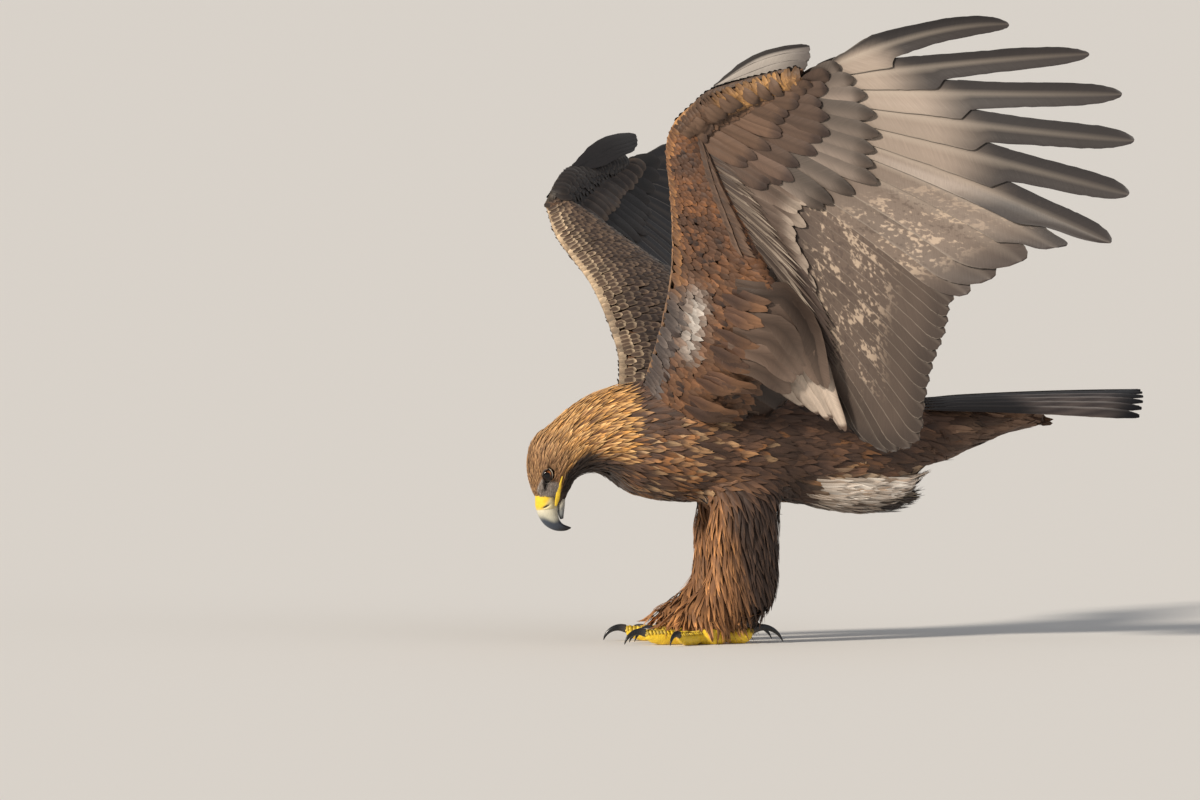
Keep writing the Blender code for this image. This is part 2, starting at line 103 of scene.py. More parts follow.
EYE_RADIUS = 9.2

LEG_SPREAD = 50
STEP_BACK = {LEFT: 0, RIGHT: 10}
FOOT_CENTRE_X = -56
TOE_START = 26.4
GAP = 0.3
# Toes: direction from straight ahead towards the outside in degrees, length, half width, claw length
TOES = {
    "inner": (-27, 40, 8.0, 38),
    "middle": (9, 57, 8.2, 34),
    "outer": (46, 46, 7.6, 29),
    "hind": (184, 30, 8.6, 48),
}
CLAW_TURN = math.radians(100)
CLAW_TIP_HEIGHT = 1.2

# Wings, as across, into and up the turned view
LEADING_EDGE = {
    LEFT: ((-120, -52, 312), (-100, -95, 379), (-87, -125, 448), (-87, -155, 517),
           (-93, -180, 593), (-84, -195, 622)),
    RIGHT: ((-150, 24, 306), (-150, 60, 345), (-166, 105, 394), (-187, 155, 437),
            (-226, 215, 490), (-238, 256, 530)),
}
BONE_LINE = {
    LEFT: ((-25, -82, 268), (14, -140, 330), (38, -196, 404), (8, -200, 475), (-28, -197, 548),
           (-56, -193, 612)),
    RIGHT: ((-60, 58, 268), (-54, 120, 330), (-50, 184, 396), (-86, 205, 440), (-150, 232, 488),
            (-205, 254, 526)),
}
HAND_FRONT = ((-84, -195.5, 623), (-58, -212, 648), (-38, -230, 661), (20, -255, 678), (76, -280, 692))
HAND_REAR = ((-56, -193.5, 613), (-25, -212, 628), (5, -232, 643), (40, -255, 658), (76, -279, 672))
ARM_HALF_THICKNESS = (22, 17, 14, 13, 12, 10)
HAND_HALF_THICKNESS = (9.5, 8, 7, 5.5, 3)
HAND_ROLL = {LEFT: 0, RIGHT: math.radians(8)}
FEATHER_ROLL = {LEFT: 0, RIGHT: math.radians(28)}
ALULA = ((-36, -226, 660), (24, -243, 690), (78, -264, 702))
PRIMARY_TIPS = ((264, -330, 415), (292, -350, 433), (328, -380, 454), (367, -410, 470),
                (431, -450, 475), (452, -470, 532), (458, -480, 595), (444, -470, 650),
                (406, -450, 698), (312, -404, 734))
PRIMARY_SAG = (0, 0, 0, 2, 6, 13, 16, 11, 3, -11)
PRIMARY_SLOTS = (0.95, 0.95, 0.93, 0.88, 0.68, 0.59, 0.54, 0.475, 0.36)
SECONDARY_EDGE = ((245, -310, 406), (240, -285, 372), (226, -255, 333), (217, -215, 290),
                  (209, -170, 240), (172, -132, 227))
TERTIAL_EDGE = ((146, -120, 240), (128, -110, 258), (104, -104, 284), (60, -98, 306))
TERTIALS, SECONDARIES, PRIMARIES = 5, 15, 10
INNER_STATIONS = 3
WING_CAMBER = 0.05
OUTER_VANE = 10
WRIST_BULGE, WRIST_STATION = {LEFT: 0, RIGHT: 6}, 21.5

TAIL_FEATHERS = 12
TAIL_ROOT_X, TAIL_TIP_X, TAIL_EDGE_TIP_X = 214.6, 497, 478
TAIL_ROOT_HALF_WIDTH, TAIL_TIP_HALF_WIDTH = 25, 66
TAIL_ROOT_Z, TAIL_TIP_Z = 288, 296
TAIL_ROOT_DROOP, TAIL_TIP_DROOP = 8, 26

# Colours of the plumage and the bare parts
BLACK = (0.012, 0.010, 0.011)
UMBER = (0.055, 0.030, 0.022)
BROWN = (0.105, 0.056, 0.034)
WARM = (0.20, 0.095, 0.045)
RUST = (0.33, 0.145, 0.052)
BUFF = (0.52, 0.34, 0.19)
CREAM = (0.62, 0.50, 0.38)
SLATE = (0.036, 0.031, 0.030)
YELLOW = (0.78, 0.53, 0.035)
FLECK_PALE = (0.47, 0.365, 0.275)
FLECK_DARK = (0.070, 0.050, 0.042)


def unit(vectors):
    return vectors / np.maximum(np.linalg.norm(vectors, axis=-1, keepdims=True), 1e-9)


def smooth(low, high, value):
    """0 below low, 1 above high, and an even curve between."""
    share = np.clip((value - low) / (high - low), 0.0, 1.0)
    return share * share * (3 - 2 * share)


def mix(first, second, share):
    share = np.asarray(share, float)[..., None]
    return np.asarray(first) * (1 - share) + np.asarray(second) * share


def spline(points, share):
    """Catmull-Rom curve through the points, with share from 0 at the first to 1 at the last."""
    points = np.asarray(points, float)
    last = len(points) - 1
    place = np.clip(np.asarray(share, float), 0, 1) * last
    i = np.minimum(place.astype(int), last - 1)
    f = (place - i)[..., None]
    before, a, b, after = (points[np.clip(i + k, 0, last)] for k in (-1, 0, 1, 2))
    return 0.5 * (
        2 * a
        + (b - before) * f
        + (2 * before - 5 * a + 4 * b - after) * f**2
        + (3 * a - before - 3 * b + after) * f**3
    )


def drift(points, size, shift=0.0):
    """Slow change over space, from 0 to 1, in patches about size millimetres across."""
    waves = [noises.noise(Vector(place)) for place in (points / size + shift).tolist()]
    return (0.5 + 0.9 * np.array(waves)).clip(0, 1)


def from_view(points):
    """Places of points measured across, into and up the turned view."""
    across, into, up = np.moveaxis(np.asarray(points, float), -1, 0)
    cos, sin = math.cos(VIEW_TURN), math.sin(VIEW_TURN)
    height = (up - into * math.sin(VIEW_DOWN)) / math.cos(VIEW_DOWN)
    return np.stack((across * cos - into * sin, across * sin + into * cos, height), -1)


def foot_centre(side):
    return np.array((FOOT_CENTRE_X + STEP_BACK[side], side * LEG_SPREAD, 0.0))


def frame_origin():
    """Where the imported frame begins, found from the left foot."""
    low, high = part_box("foot_left")
    return foot_centre(LEFT) * (1, 1, 0) - np.array((low + high) / 2) * (1 / MM, 1 / MM, 0)


ORIGIN = frame_origin()


# Materials

def nodes_of(material):
    tree = material.node_tree
    return tree, tree.nodes["Principled BSDF"]


def link(tree, start, end):
    tree.links.new(start, end)


def maths(tree, operation, first, second=None, third=None):
    """A Math node on sockets or numbers, and its result."""
    node = tree.nodes.new("ShaderNodeMath")
    node.operation = operation
    for socket, value in zip(node.inputs, (first, second, third)):
        if value is None:
            continue
        if isinstance(value, bpy.types.NodeSocket):
            link(tree, value, socket)
        else:
            socket.default_value = value
    return node.outputs[0]


def blend_colour(tree, share, first, second, mode="MIX"):
    """A colour Mix node, and its result."""
    node = tree.nodes.new("ShaderNodeMix")
    node.data_type = "RGBA"
    node.blend_type = mode
    for socket, value in ((node.inputs[0], share), (node.inputs[6], first), (node.inputs[7], second)):
        if isinstance(value, bpy.types.NodeSocket):
            link(tree, value, socket)
        elif isinstance(value, tuple):
            socket.default_value = (*value, 1)
        else:
            socket.default_value = value
    return node.outputs[2]


def noise(tree, vector, scale, detail):
    node = tree.nodes.new("ShaderNodeTexNoise")
    node.inputs["Scale"].default_value = scale
    node.inputs["Detail"].default_value = detail
    link(tree, vector, node.inputs["Vector"])
    return node.outputs["Fac"]


def bump(tree, shader, height, distance, strength):
    node = tree.nodes.new("ShaderNodeBump")
    node.inputs["Strength"].default_value = strength
    node.inputs["Distance"].default_value = distance
    link(tree, height, node.inputs["Height"])
    link(tree, node.outputs["Normal"], shader.inputs["Normal"])


def tinted(name, roughness, specular=0.3):
    """A new material whose colour starts from the mesh's own tint."""
    material = bpy.data.materials.new(name)
    material.use_nodes = True
    tree, shader = nodes_of(material)
    shader.inputs["Roughness"].default_value = roughness
    shader.inputs["Specular IOR Level"].default_value = specular
    tint = tree.nodes.new("ShaderNodeVertexColor")
    tint.layer_name = "tint"
    link(tree, tint.outputs["Color"], shader.inputs["Base Color"])
    return material, tree, shader, tint


def shade_tint(tree, shader, tint, level):
    """Makes the tint lighter and darker by level, as the shader's base colour."""
    shade = tree.nodes.new("ShaderNodeCombineXYZ")
    for socket in shade.inputs:
        link(tree, level, socket)
    colour = blend_colour(tree, 1.0, tint.outputs["Color"], shade.outputs[0], "MULTIPLY")
    link(tree, colour, shader.inputs["Base Color"])
    return colour


def feather_material(name, roughness, pitch, streak, flecked=False):
    """Barbs run from the shaft outwards and towards the tip, pitch millimetres apart.

    The Vane map holds millimetres across the shaft and along it."""
    material, tree, shader, tint = tinted(name, roughness)
    shader.inputs["Sheen Weight"].default_value = 0.12
    shader.inputs["Sheen Roughness"].default_value = 0.4
    vane = tree.nodes.new("ShaderNodeUVMap")
    vane.uv_map = "Vane"
    parts = tree.nodes.new("ShaderNodeSeparateXYZ")
    link(tree, vane.outputs["UV"], parts.inputs[0])
    off_shaft = maths(tree, "ABSOLUTE", parts.outputs[0])
    barb = maths(tree, "MULTIPLY_ADD", off_shaft, -1.15, parts.outputs[1])
    waves = maths(tree, "SINE", maths(tree, "MULTIPLY", barb, 2 * math.pi / pitch))
    lines = tree.nodes.new("ShaderNodeCombineXYZ")
    link(tree, maths(tree, "MULTIPLY", barb, 1.0 / pitch), lines.inputs[0])
    link(tree, maths(tree, "MULTIPLY", parts.outputs[0], 0.06), lines.inputs[1])
    streaks = noise(tree, lines.outputs[0], 0.8, 5.0)
    level = maths(tree, "MULTIPLY_ADD", streaks, 2 * streak, 1 - streak)
    colour = shade_tint(tree, shader, tint, level)
    bump(tree, shader, maths(tree, "MULTIPLY_ADD", waves, 0.12, streaks), 0.3 * MM, 0.45)
    if flecked:
        patches = tree.nodes.new("ShaderNodeMapping")
        patches.inputs["Scale"].default_value = (1.0, 0.8, 1.0)
        link(tree, vane.outputs["UV"], patches.inputs["Vector"])
        blotch = noise(tree, patches.outputs[0], 0.17, 6.0)
        clumps = noise(tree, patches.outputs[0], 0.035, 1.0)
        mixed = maths(tree, "MULTIPLY_ADD", clumps, 0.8, blotch)
        for fleck, slope, start, most in ((FLECK_PALE, 7.0, -6.6, 0.8), (FLECK_DARK, -7.0, 5.4, 0.55)):
            share = maths(tree, "MULTIPLY_ADD", mixed, slope, start)
            share = maths(tree, "MINIMUM", maths(tree, "MAXIMUM", share, 0.0), most)
            colour = blend_colour(tree, maths(tree, "MULTIPLY", tint.outputs["Alpha"], share), colour, fleck)
        link(tree, colour, shader.inputs["Base Color"])
    return material


def skin_material(name, roughness, scale, depth):
    """Bare or downy skin with small round scales or pores."""
    material, tree, shader, tint = tinted(name, roughness, 0.4)
    place = tree.nodes.new("ShaderNodeTexCoord")
    cells = tree.nodes.new("ShaderNodeTexVoronoi")
    cells.inputs["Scale"].default_value = scale
    link(tree, place.outputs["Object"], cells.inputs["Vector"])
    grain = noise(tree, place.outputs["Object"], scale * 0.35, 5.0)
    level = maths(tree, "MULTIPLY_ADD", grain, 0.5, 0.76)
    shade_tint(tree, shader, tint, level)
    height = maths(tree, "SUBTRACT", maths(tree, "MULTIPLY", grain, 0.6), cells.outputs["Distance"])
    bump(tree, shader, height, depth, 0.6)
    return material


def horn_material(name, roughness, depth):
    """Bill or claw: growth lines along it, over a smooth gloss."""
    material, tree, shader, tint = tinted(name, roughness, 0.35)
    shader.inputs["Coat Weight"].default_value = 0.12
    shader.inputs["Coat Roughness"].default_value = 0.15
    place = tree.nodes.new("ShaderNodeTexCoord")
    stretch = tree.nodes.new("ShaderNodeMapping")
    stretch.inputs["Scale"].default_value = (900.0, 900.0, 140.0)
    link(tree, place.outputs["Object"], stretch.inputs["Vector"])
    grain = noise(tree, stretch.outputs[0], 1.0, 5.0)
    level = maths(tree, "MULTIPLY_ADD", grain, 0.5, 0.76)
    shade_tint(tree, shader, tint, level)
    rough = maths(tree, "MULTIPLY_ADD", grain, 0.2, roughness - 0.1)
    link(tree, rough, shader.inputs["Roughness"])
    bump(tree, shader, grain, depth, 0.5)
    return material


def eye_material():
    """A wet eye, with streaks round the pupil in the iris's colour."""
    material, tree, shader, tint = tinted("eye", 0.05, 0.35)
    place = tree.nodes.new("ShaderNodeTexCoord")
    streaks = noise(tree, place.outputs["Object"], 900.0, 4.0)
    level = maths(tree, "MULTIPLY_ADD", streaks, 0.9, 0.55)
    shade_tint(tree, shader, tint, level)
    return material


BODY_FEATHER = feather_material("body_feather", 0.62, 0.9, 0.45)
COVERT_FEATHER = feather_material("covert_feather", 0.55, 1.1, 0.36)
FLIGHT_FEATHER = feather_material("flight_feather", 0.46, 1.4, 0.22, flecked=True)
DOWNY_SKIN = skin_material("downy_skin", 0.8, 600.0, 0.3 * MM)
TOE_SKIN = skin_material("toe_skin", 0.42, 420.0, 0.5 * MM)
CERE_SKIN = skin_material("cere_skin", 0.38, 900.0, 0.2 * MM)
BILL_HORN = horn_material("bill_horn", 0.32, 0.12 * MM)
CLAW_HORN = horn_material("claw_horn", 0.28, 0.1 * MM)
WET_EYE = eye_material()


# Meshes

def to_scene(obj):
    bpy.context.scene.collection.objects.link(obj)
    return obj


def place_piece(obj, slot, *nodes):
    """Puts a finished piece on the body, in place of the named solids."""
    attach(obj, "root")
    if nodes:
        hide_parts(*nodes)
    return obj


# Height of the lowest points over the floor, so that nothing dips into it
LOWEST = 0.05


def mesh_object(name, points, faces, tint, maps, materials, face_materials=None, sharp=None):
    """A mesh object from points in millimetres and faces that all have as many corners.

    maps holds, for each map's name, a place for each face corner."""
    corners = faces.shape[1]
    points = np.maximum(points, (-np.inf, -np.inf, LOWEST))
    mesh = bpy.data.meshes.new(name)
    mesh.vertices.add(len(points))
    mesh.vertices.foreach_set("co", ((points - ORIGIN) * MM).astype(np.float32).ravel())
    mesh.loops.add(faces.size)
    mesh.loops.foreach_set("vertex_index", faces.astype(np.int32).ravel())
    mesh.polygons.add(len(faces))
    mesh.polygons.foreach_set("loop_start", np.arange(0, faces.size, corners, dtype=np.int32))
    mesh.update(calc_edges=True)
    colours = np.ones((len(points), 4), np.float32)
    colours[:, :tint.shape[1]] = tint
    layer = mesh.color_attributes.new(name="tint", type="FLOAT_COLOR", domain="POINT")
    layer.data.foreach_set("color", colours.ravel())
    for map_name, places in maps.items():
        uv = mesh.uv_layers.new(name=map_name)
        uv.uv.foreach_set("vector", places.astype(np.float32).ravel())
    for material in materials:
        mesh.materials.append(material)
    if face_materials is not None:
        mesh.polygons.foreach_set("material_index", face_materials.astype(np.int32))
    mesh.shade_smooth()
    if sharp:
        mesh.set_sharp_from_angle(angle=math.radians(sharp))
    mesh.validate()
    return to_scene(bpy.data.objects.new(name, mesh))


# Size of a body feather's patch on the unwrap, and the bend in degrees from which an edge is sharp
TUFT_PATCH, SHARP_EDGE = 0.003, 70


class Coat:
    """Gathers vanes of any size into one piece. Each vane is closed: two grids with one outline."""

    def __init__(self, name):
        self.name = name
        self.points, self.faces, self.tints = [], [], []
        self.vane_maps, self.bake_maps = [], []
        self.total = 0

    def add(self, grid, normal, thick, tint, vane, bake, under_tint=None, under_bake=None):
        """grid is vane, row, column and place; normal points to each vane's upper face."""
        count, rows, columns = grid.shape[:3]
        top = np.arange(rows * columns).reshape(rows, columns)
        bottom = top.copy()
        bottom[1:-1, 1:-1] = top.size + np.arange((rows - 2) * (columns - 2)).reshape(rows - 2, -1)
        per_vane = top.size + (rows - 2) * (columns - 2)
        lift = normal[:, :, None] * (thick / 2)
        inner = np.zeros((rows, columns, 1))
        inner[1:-1, 1:-1] = 1
        upper = (grid + lift * inner).reshape(count, -1, 3)
        lower = (grid - lift * inner)[:, 1:-1, 1:-1].reshape(count, -1, 3)
        self.points.append(np.concatenate((upper, lower), 1).reshape(-1, 3))
        under_tint = tint if under_tint is None else under_tint
        under_bake = bake if under_bake is None else under_bake
        depth = tint.shape[-1]
        tints = np.concatenate((tint.reshape(count, -1, depth),
                                under_tint[:, 1:-1, 1:-1].reshape(count, -1, depth)), 1)
        full = np.ones((count * per_vane, 4))
        full[:, :depth] = tints.reshape(-1, depth)
        self.tints.append(full)

        def corners(a):
            return np.stack((a[:-1, :-1], a[:-1, 1:], a[1:, 1:], a[1:, :-1]), -1).reshape(-1, 4)

        across = grid[:, rows // 2, -1] - grid[:, rows // 2, 0]
        along = grid[:, rows // 2 + 1, columns // 2] - grid[:, rows // 2, columns // 2]
        facing = (np.cross(across, along) * normal[:, rows // 2]).sum(-1)
        for turned in (False, True):
            chosen = np.where((facing < 0) == turned)[0]
            if not len(chosen):
                continue
            order = (3, 2, 1, 0) if turned else (0, 1, 2, 3)
            back = order[::-1]
            numbers = np.concatenate((corners(top)[:, order], corners(bottom)[:, back]))
            cells = np.concatenate((corners(top)[:, order], corners(top)[:, back]))
            start = self.total + chosen * per_vane
            self.faces.append((numbers[None] + start[:, None, None]).reshape(-1, 4))
            flat_vane = vane.reshape(count, -1, 2)[chosen]
            self.vane_maps.append(flat_vane[:, cells].reshape(-1, 2))
            upper_cells, lower_cells = np.split(cells, 2)
            baked = np.concatenate((bake.reshape(count, -1, 2)[chosen][:, upper_cells],
                                    under_bake.reshape(count, -1, 2)[chosen][:, lower_cells]), 1)
            self.bake_maps.append(baked.reshape(-1, 2))
        self.total += count * per_vane

    def finish(self, material, slot, *nodes):
        points = np.concatenate(self.points)
        faces = np.concatenate(self.faces)
        maps = {"OFBake": np.concatenate(self.bake_maps), "Vane": np.concatenate(self.vane_maps)}
        obj = mesh_object(self.name, points, faces, np.concatenate(self.tints), maps, [material],
                          sharp=SHARP_EDGE)
        return place_piece(obj, slot, *nodes)


def loft(rings, close_ends=True):
    """Points and four-cornered faces skinned over rings of equally many points."""
    rings = np.asarray(rings, float)
    rows, count = rings.shape[:2]
    points = rings.reshape(-1, 3)
    k = np.arange(count)
    after = (k + 1) % count
    faces = [np.stack((r * count + k, r * count + after, (r + 1) * count + after,
                       (r + 1) * count + k), -1) for r in range(rows - 1)]
    if close_ends:
        half = count // 2
        for base, flip in ((0, True), ((rows - 1) * count, False)):
            cap = []
            for j in range(half - 1):
                quad = (base + j, base + j + 1, base + count - 2 - j, base + count - 1 - j)
                cap.append(quad[::-1] if flip else quad)
            faces.append(np.array(cap))
    return points, np.concatenate(faces)


def outward(points, faces):
    """The faces, turned if need be so that they face out of the solid."""
    a, b, c, d = (points[faces[:, k]] for k in range(4))
    volume = (np.cross(c - a, d - b) * (a + b + c + d)).sum()
    return faces if volume > 0 else faces[:, ::-1]


def oval(centre, side, up, half_width, above, below, count):
    """Ring of points round centre in the plane of side and up."""
    angle = 2 * np.pi * (np.arange(count) + 0.5) / count
    rise = np.sin(angle) * np.where(np.sin(angle) > 0, above, below)
    return centre + np.outer(np.cos(angle) * half_width, side) + np.outer(rise, up)


# The body's own coordinates

STATIONS = np.linspace(0, 1, 281)
STATION_ROWS = spline(BODY_LINE, STATIONS)
# Points that are measured at one time, to save memory
BATCH = 20000


def along_body(points):
    """Each point's row on the body line, its angle round it from the back, and the way to the tail."""
    nearest = np.empty(len(points), int)
    for start in range(0, len(points), BATCH):
        some = points[start:start + BATCH]
        gap = ((some[:, None, 0] - STATION_ROWS[None, :, 0]) ** 2
               + (some[:, None, 2] - STATION_ROWS[None, :, 1]) ** 2)
        nearest[start:start + BATCH] = gap.argmin(1)
    x, z, nod, above, below, half_width = STATION_ROWS[nearest].T
    nod = np.radians(nod)
    rise = -(points[:, 0] - x) * np.sin(nod) + (points[:, 2] - z) * np.cos(nod)
    angle = np.arctan2(points[:, 1] / half_width, rise / np.where(rise > 0, above, below))
    to_tail = np.stack((np.cos(nod), np.zeros_like(nod), np.sin(nod)), -1)
    return nearest / (len(STATIONS) - 1) * LAST_ROW, angle, to_tail


def leg_share(points):
    """1 on the feathered legs, 0 on the body, with an even change over the thighs."""
    share = np.zeros(len(points))
    for side in (LEFT, RIGHT):
        dx = (points[:, 0] + 8 - STEP_BACK[side]) / 52
        dy = (points[:, 1] - side * LEG_SPREAD) / 36
        inside = 1 - smooth(0.85, 1.35, np.hypot(dx, dy))
        share = np.maximum(share, inside * (1 - smooth(165, 225, points[:, 2])))
    return np.where(points[:, 2] < 150, 1.0, share)


# The skin

COAT_DEPTHS = {"head": 2.4, "neck": 5.0, "trunk": 7.0, "rump": 7.0, "undertail_coverts": 7.0,
               "thigh": 7.0, "tarsus": 6.0, "upper_arm": 2.0, "forearm": 2.0, "hand": 1.0,
               "foot": 0.0, "toe": 0.0}
FOOT_ZONES, LEG_ZONES, ARM_ZONES = ("foot", "toe"), ("thigh", "tarsus"), ("upper_arm", "forearm", "hand")
JOIN_SWELL = 0.6
VOXEL = 3.4 * MM
EYE_AXIS = unit(np.array((-0.34, 0.92, -0.12)))
EYE_OPENING = (7.0, 5.6)
BROW = ((-255.8, 9.5, 181), (-255.6, 15.4, 189.5), (-255.2, 19.2, 197.5), (-254.2, 21.6, 205),
        (-252.6, 23.8, 212), (-249.0, 26.6, 219.5))
BROW_HEIGHT, BROW_WIDTH = 7.5, 3.3
EYE_SINK, EYE_RIM = 1.6, 0.9


def zone_of(node):
    for zone in COAT_DEPTHS:
        if node.startswith(zone):
            return zone
    return None


def mesh_arrays(mesh):
    """Points in millimetres and triangles of a mesh."""
    mesh.calc_loop_triangles()
    points = np.empty(len(mesh.vertices) * 3, np.float32)
    mesh.vertices.foreach_get("co", points)
    triangles = np.empty(len(mesh.loop_triangles) * 3, np.int32)
    mesh.loop_triangles.foreach_get("vertices", triangles)
    return points.reshape(-1, 3).astype(float) / MM + ORIGIN, triangles.reshape(-1, 3)


def node_mesh(name):
    """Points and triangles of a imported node, with its doubled points joined."""
    points, triangles = mesh_arrays(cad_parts[name].data)
    _, first, place = np.unique(np.round(points, 2), axis=0, return_index=True, return_inverse=True)
    return points[first], place.ravel()[triangles]


def point_normals(points, triangles):
    a, b, c = (points[triangles[:, k]] for k in range(3))
    across = np.cross(b - a, c - a)
    total = np.zeros_like(points)
    for k in range(3):
        for axis in range(3):
            total[:, axis] += np.bincount(triangles[:, k], across[:, axis], len(points))
    return unit(total)


def edge_pairs(triangles):
    pairs = np.concatenate((triangles[:, (0, 1)], triangles[:, (1, 2)], triangles[:, (2, 0)]))
    return np.unique(np.sort(pairs, 1), axis=0)


def spread_out(values, pairs, rounds, strength=0.5):
    """Moves each point's values towards its neighbours' mean, rounds times."""
    values = values.reshape(len(values), -1).astype(float)
    degree = np.bincount(pairs.ravel(), minlength=len(values))[:, None]
    strength = np.asarray(strength, float).reshape(-1, 1)
    for _ in range(rounds):
        total = np.zeros_like(values)
        for k in range(values.shape[1]):
            total[:, k] = (np.bincount(pairs[:, 0], values[pairs[:, 1], k], len(values))
                           + np.bincount(pairs[:, 1], values[pairs[:, 0], k], len(values)))
        values = values + (total / degree - values) * strength
    return values


def object_arrays(obj):
    """Points and triangles of an object as its modifiers leave it."""
    shaped = obj.evaluated_get(bpy.context.evaluated_depsgraph_get())
    points, triangles = mesh_arrays(shaped.to_mesh())
    shaped.to_mesh_clear()
    return points, triangles


def plain_object(name, points, triangles):
    mesh = bpy.data.meshes.new(name)
    mesh.from_pydata(((points - ORIGIN) * MM).tolist(), [], triangles.tolist())
    return to_scene(bpy.data.objects.new(name, mesh))


def discard(obj):
    mesh = obj.data
    bpy.data.objects.remove(obj)
    bpy.data.meshes.remove(mesh)


def fused_flesh(nodes):
    """All flesh nodes, swollen until they touch and remade as one closed mesh."""
    points, triangles, total = [], [], 0
    for node in nodes:
        own, faces = node_mesh(node)
        points.append(own + point_normals(own, faces) * JOIN_SWELL)
        triangles.append(faces + total)
        total += len(own)
    obj = plain_object("flesh", np.concatenate(points), np.concatenate(triangles))
    remake = obj.modifiers.new("remake", "REMESH")
    remake.mode = "VOXEL"
    remake.voxel_size = VOXEL
    points, triangles = object_arrays(obj)
    discard(obj)
    return points, triangles


def refine(points, triangles, near):
    """Splits the edges of the triangles whose points are all near."""
    obj = plain_object("refine", points, triangles)
    shape = bmesh.new()
    shape.from_mesh(obj.data)
    shape.verts.ensure_lookup_table()
    chosen = near(points)
    edges = [edge for edge in shape.edges if all(chosen[end.index] for end in edge.verts)]
    bmesh.ops.subdivide_edges(shape, edges=edges, cuts=1, use_grid_fill=True)
    bmesh.ops.triangulate(shape, faces=shape.faces)
    shape.to_mesh(obj.data)
    shape.free()
    points, triangles = object_arrays(obj)
    discard(obj)
    return points, triangles


def eye_place(side):
    """Centre of an eye, the way it looks, the head's own forward and upward from there."""
    centre = np.array(EYE_CENTRE) * (1, side, 1)
    axis = EYE_AXIS * (1, side, 1)
    ahead = unit(np.cross(axis, np.cross(np.array((0.05, 0, -1.0)), axis)))
    above = np.cross(ahead, axis) * -side
    return centre, axis, ahead, above


def off_eye(points, side):
    """How far points lie ahead of, above and out from an eye, and off it as a share of its opening."""
    centre, axis, ahead, above = eye_place(side)
    gap = points - centre
    along, rise, out = gap @ ahead, gap @ above, gap @ axis
    return along, rise, out, np.hypot(along / EYE_OPENING[0], rise / EYE_OPENING[1])


def mirrored(line, side):
    """A line of the right side of the face, on the given side."""
    return np.array(line) * (1, side, 1)


def off_line(points, line, side, count):
    """Distance of points from a line of the face, and the share along it where they are nearest."""
    path = spline(mirrored(line, side), np.linspace(0, 1, count))
    away = np.sqrt(((points[:, None] - path[None]) ** 2).sum(-1))
    return away.min(1), away.argmin(1) / (count - 1)


def open_eyes(points):
    """Sinks the skin inside each eye's opening and raises a soft rim round it."""
    for side in (LEFT, RIGHT):
        along, rise, out, ring = off_eye(points, side)
        off = np.hypot(along, rise)
        inside = np.sqrt(np.maximum((EYE_RADIUS - EYE_SINK) ** 2 - off**2, 1))
        rim = np.sqrt(np.maximum((EYE_RADIUS + EYE_RIM) ** 2 - off**2, 4))
        share = np.where(ring < 1.0, 1.0, 1 - smooth(1.12, 1.9, ring)) * (out > 0)
        move = (np.where(ring < 1.0, inside, rim) - out) * share
        points = points + EYE_AXIS * (1, side, 1) * move[:, None]
    return points


def near_brow(points, side, reach=1.0):
    """How close points are to a brow's ridge, from 0 to 1."""
    away, nearest = off_line(points, BROW, side, 41)
    close = np.exp(-(away / (BROW_WIDTH * reach)) ** 2)
    return close * smooth(0, 0.25, nearest) * (1 - smooth(0.8, 1, nearest))


def raise_brows(points):
    """Ridges that overhang the front of the eyes."""
    for side in (LEFT, RIGHT):
        way = unit(np.array((0.34, side * 0.92, -0.14)))
        points = points + way * (BROW_HEIGHT * near_brow(points, side))[:, None]
    return points


def on_face_or_toes(points):
    x, _, z = points.T
    return ((x < -212) & (z > 158) & (z < 262)) | ((z < 24) & (np.abs(x + 51) < 120))


def near_eyes(points):
    x, y, z = points.T
    return (np.abs(np.abs(y) - 22) < 16) & (x < -233) & (np.abs(z - EYE_CENTRE[2]) < 15)


class Skin:
    """The bird's one skin, with each point's zone, and quick ways to ask for its nearest place."""

    def __init__(self):
        self.nodes = [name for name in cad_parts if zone_of(name)]
        points, triangles = fused_flesh(self.nodes)
        points, triangles = refine(points, triangles, on_face_or_toes)
        pairs = edge_pairs(triangles)
        self.find_zones()
        zone = self.zone(points)
        fine = np.isin(zone, (*FOOT_ZONES, "head"))
        points = spread_out(points, pairs, 6, np.where(fine, 0.35, 0.6))
        points = spread_out(points, pairs, 10, np.where(fine, 0.0, 0.6))
        depth = np.array([COAT_DEPTHS[z] for z in zone]) + JOIN_SWELL
        depth = spread_out(depth, pairs, 24)[:, 0]
        normals = point_normals(points, triangles)
        for _ in range(3):
            points = points - normals * (depth / 3)[:, None]
            points = spread_out(points, pairs, 2, np.where(fine, 0.1, 0.5))
        points, triangles = refine(points, triangles, near_eyes)
        points = raise_brows(open_eyes(points))
        points[:, 2] = np.maximum(points[:, 2], 0)
        self.points, self.triangles = points, triangles
        self.normals = point_normals(points, triangles)
        self.zones = self.zone(points)
        self.tree = BVHTree.FromPolygons(points.tolist(), triangles.tolist())

    def find_zones(self):
        points, triangles, owners, total = [], [], [], 0
        for node in self.nodes:
            own, faces = node_mesh(node)
            points.append(own)
            triangles.append(faces + total)
            owners += [node] * len(faces)
            total += len(own)
        self.owners = np.array(owners)
        self.flesh_tree = BVHTree.FromPolygons(np.concatenate(points).tolist(),
                                               np.concatenate(triangles).tolist())

    def owner(self, points):
        return self.owners[[self.flesh_tree.find_nearest(p)[2] for p in points.tolist()]]

    def zone(self, points):
        names = {name: zone_of(name) for name in self.nodes}
        return np.array([names[name] for name in self.owner(points)])

    def nearest(self, points):
        found = [self.tree.find_nearest(p) for p in points.reshape(-1, 3).tolist()]
        places = np.array([tuple(f[0]) for f in found]).reshape(points.shape)
        faces = self.triangles[[f[2] for f in found]]
        normals = unit(self.normals[faces].mean(1)).reshape(points.shape)
        return places, normals


# Places on the unwrap of the skin

LEG_AXIS_X = -20


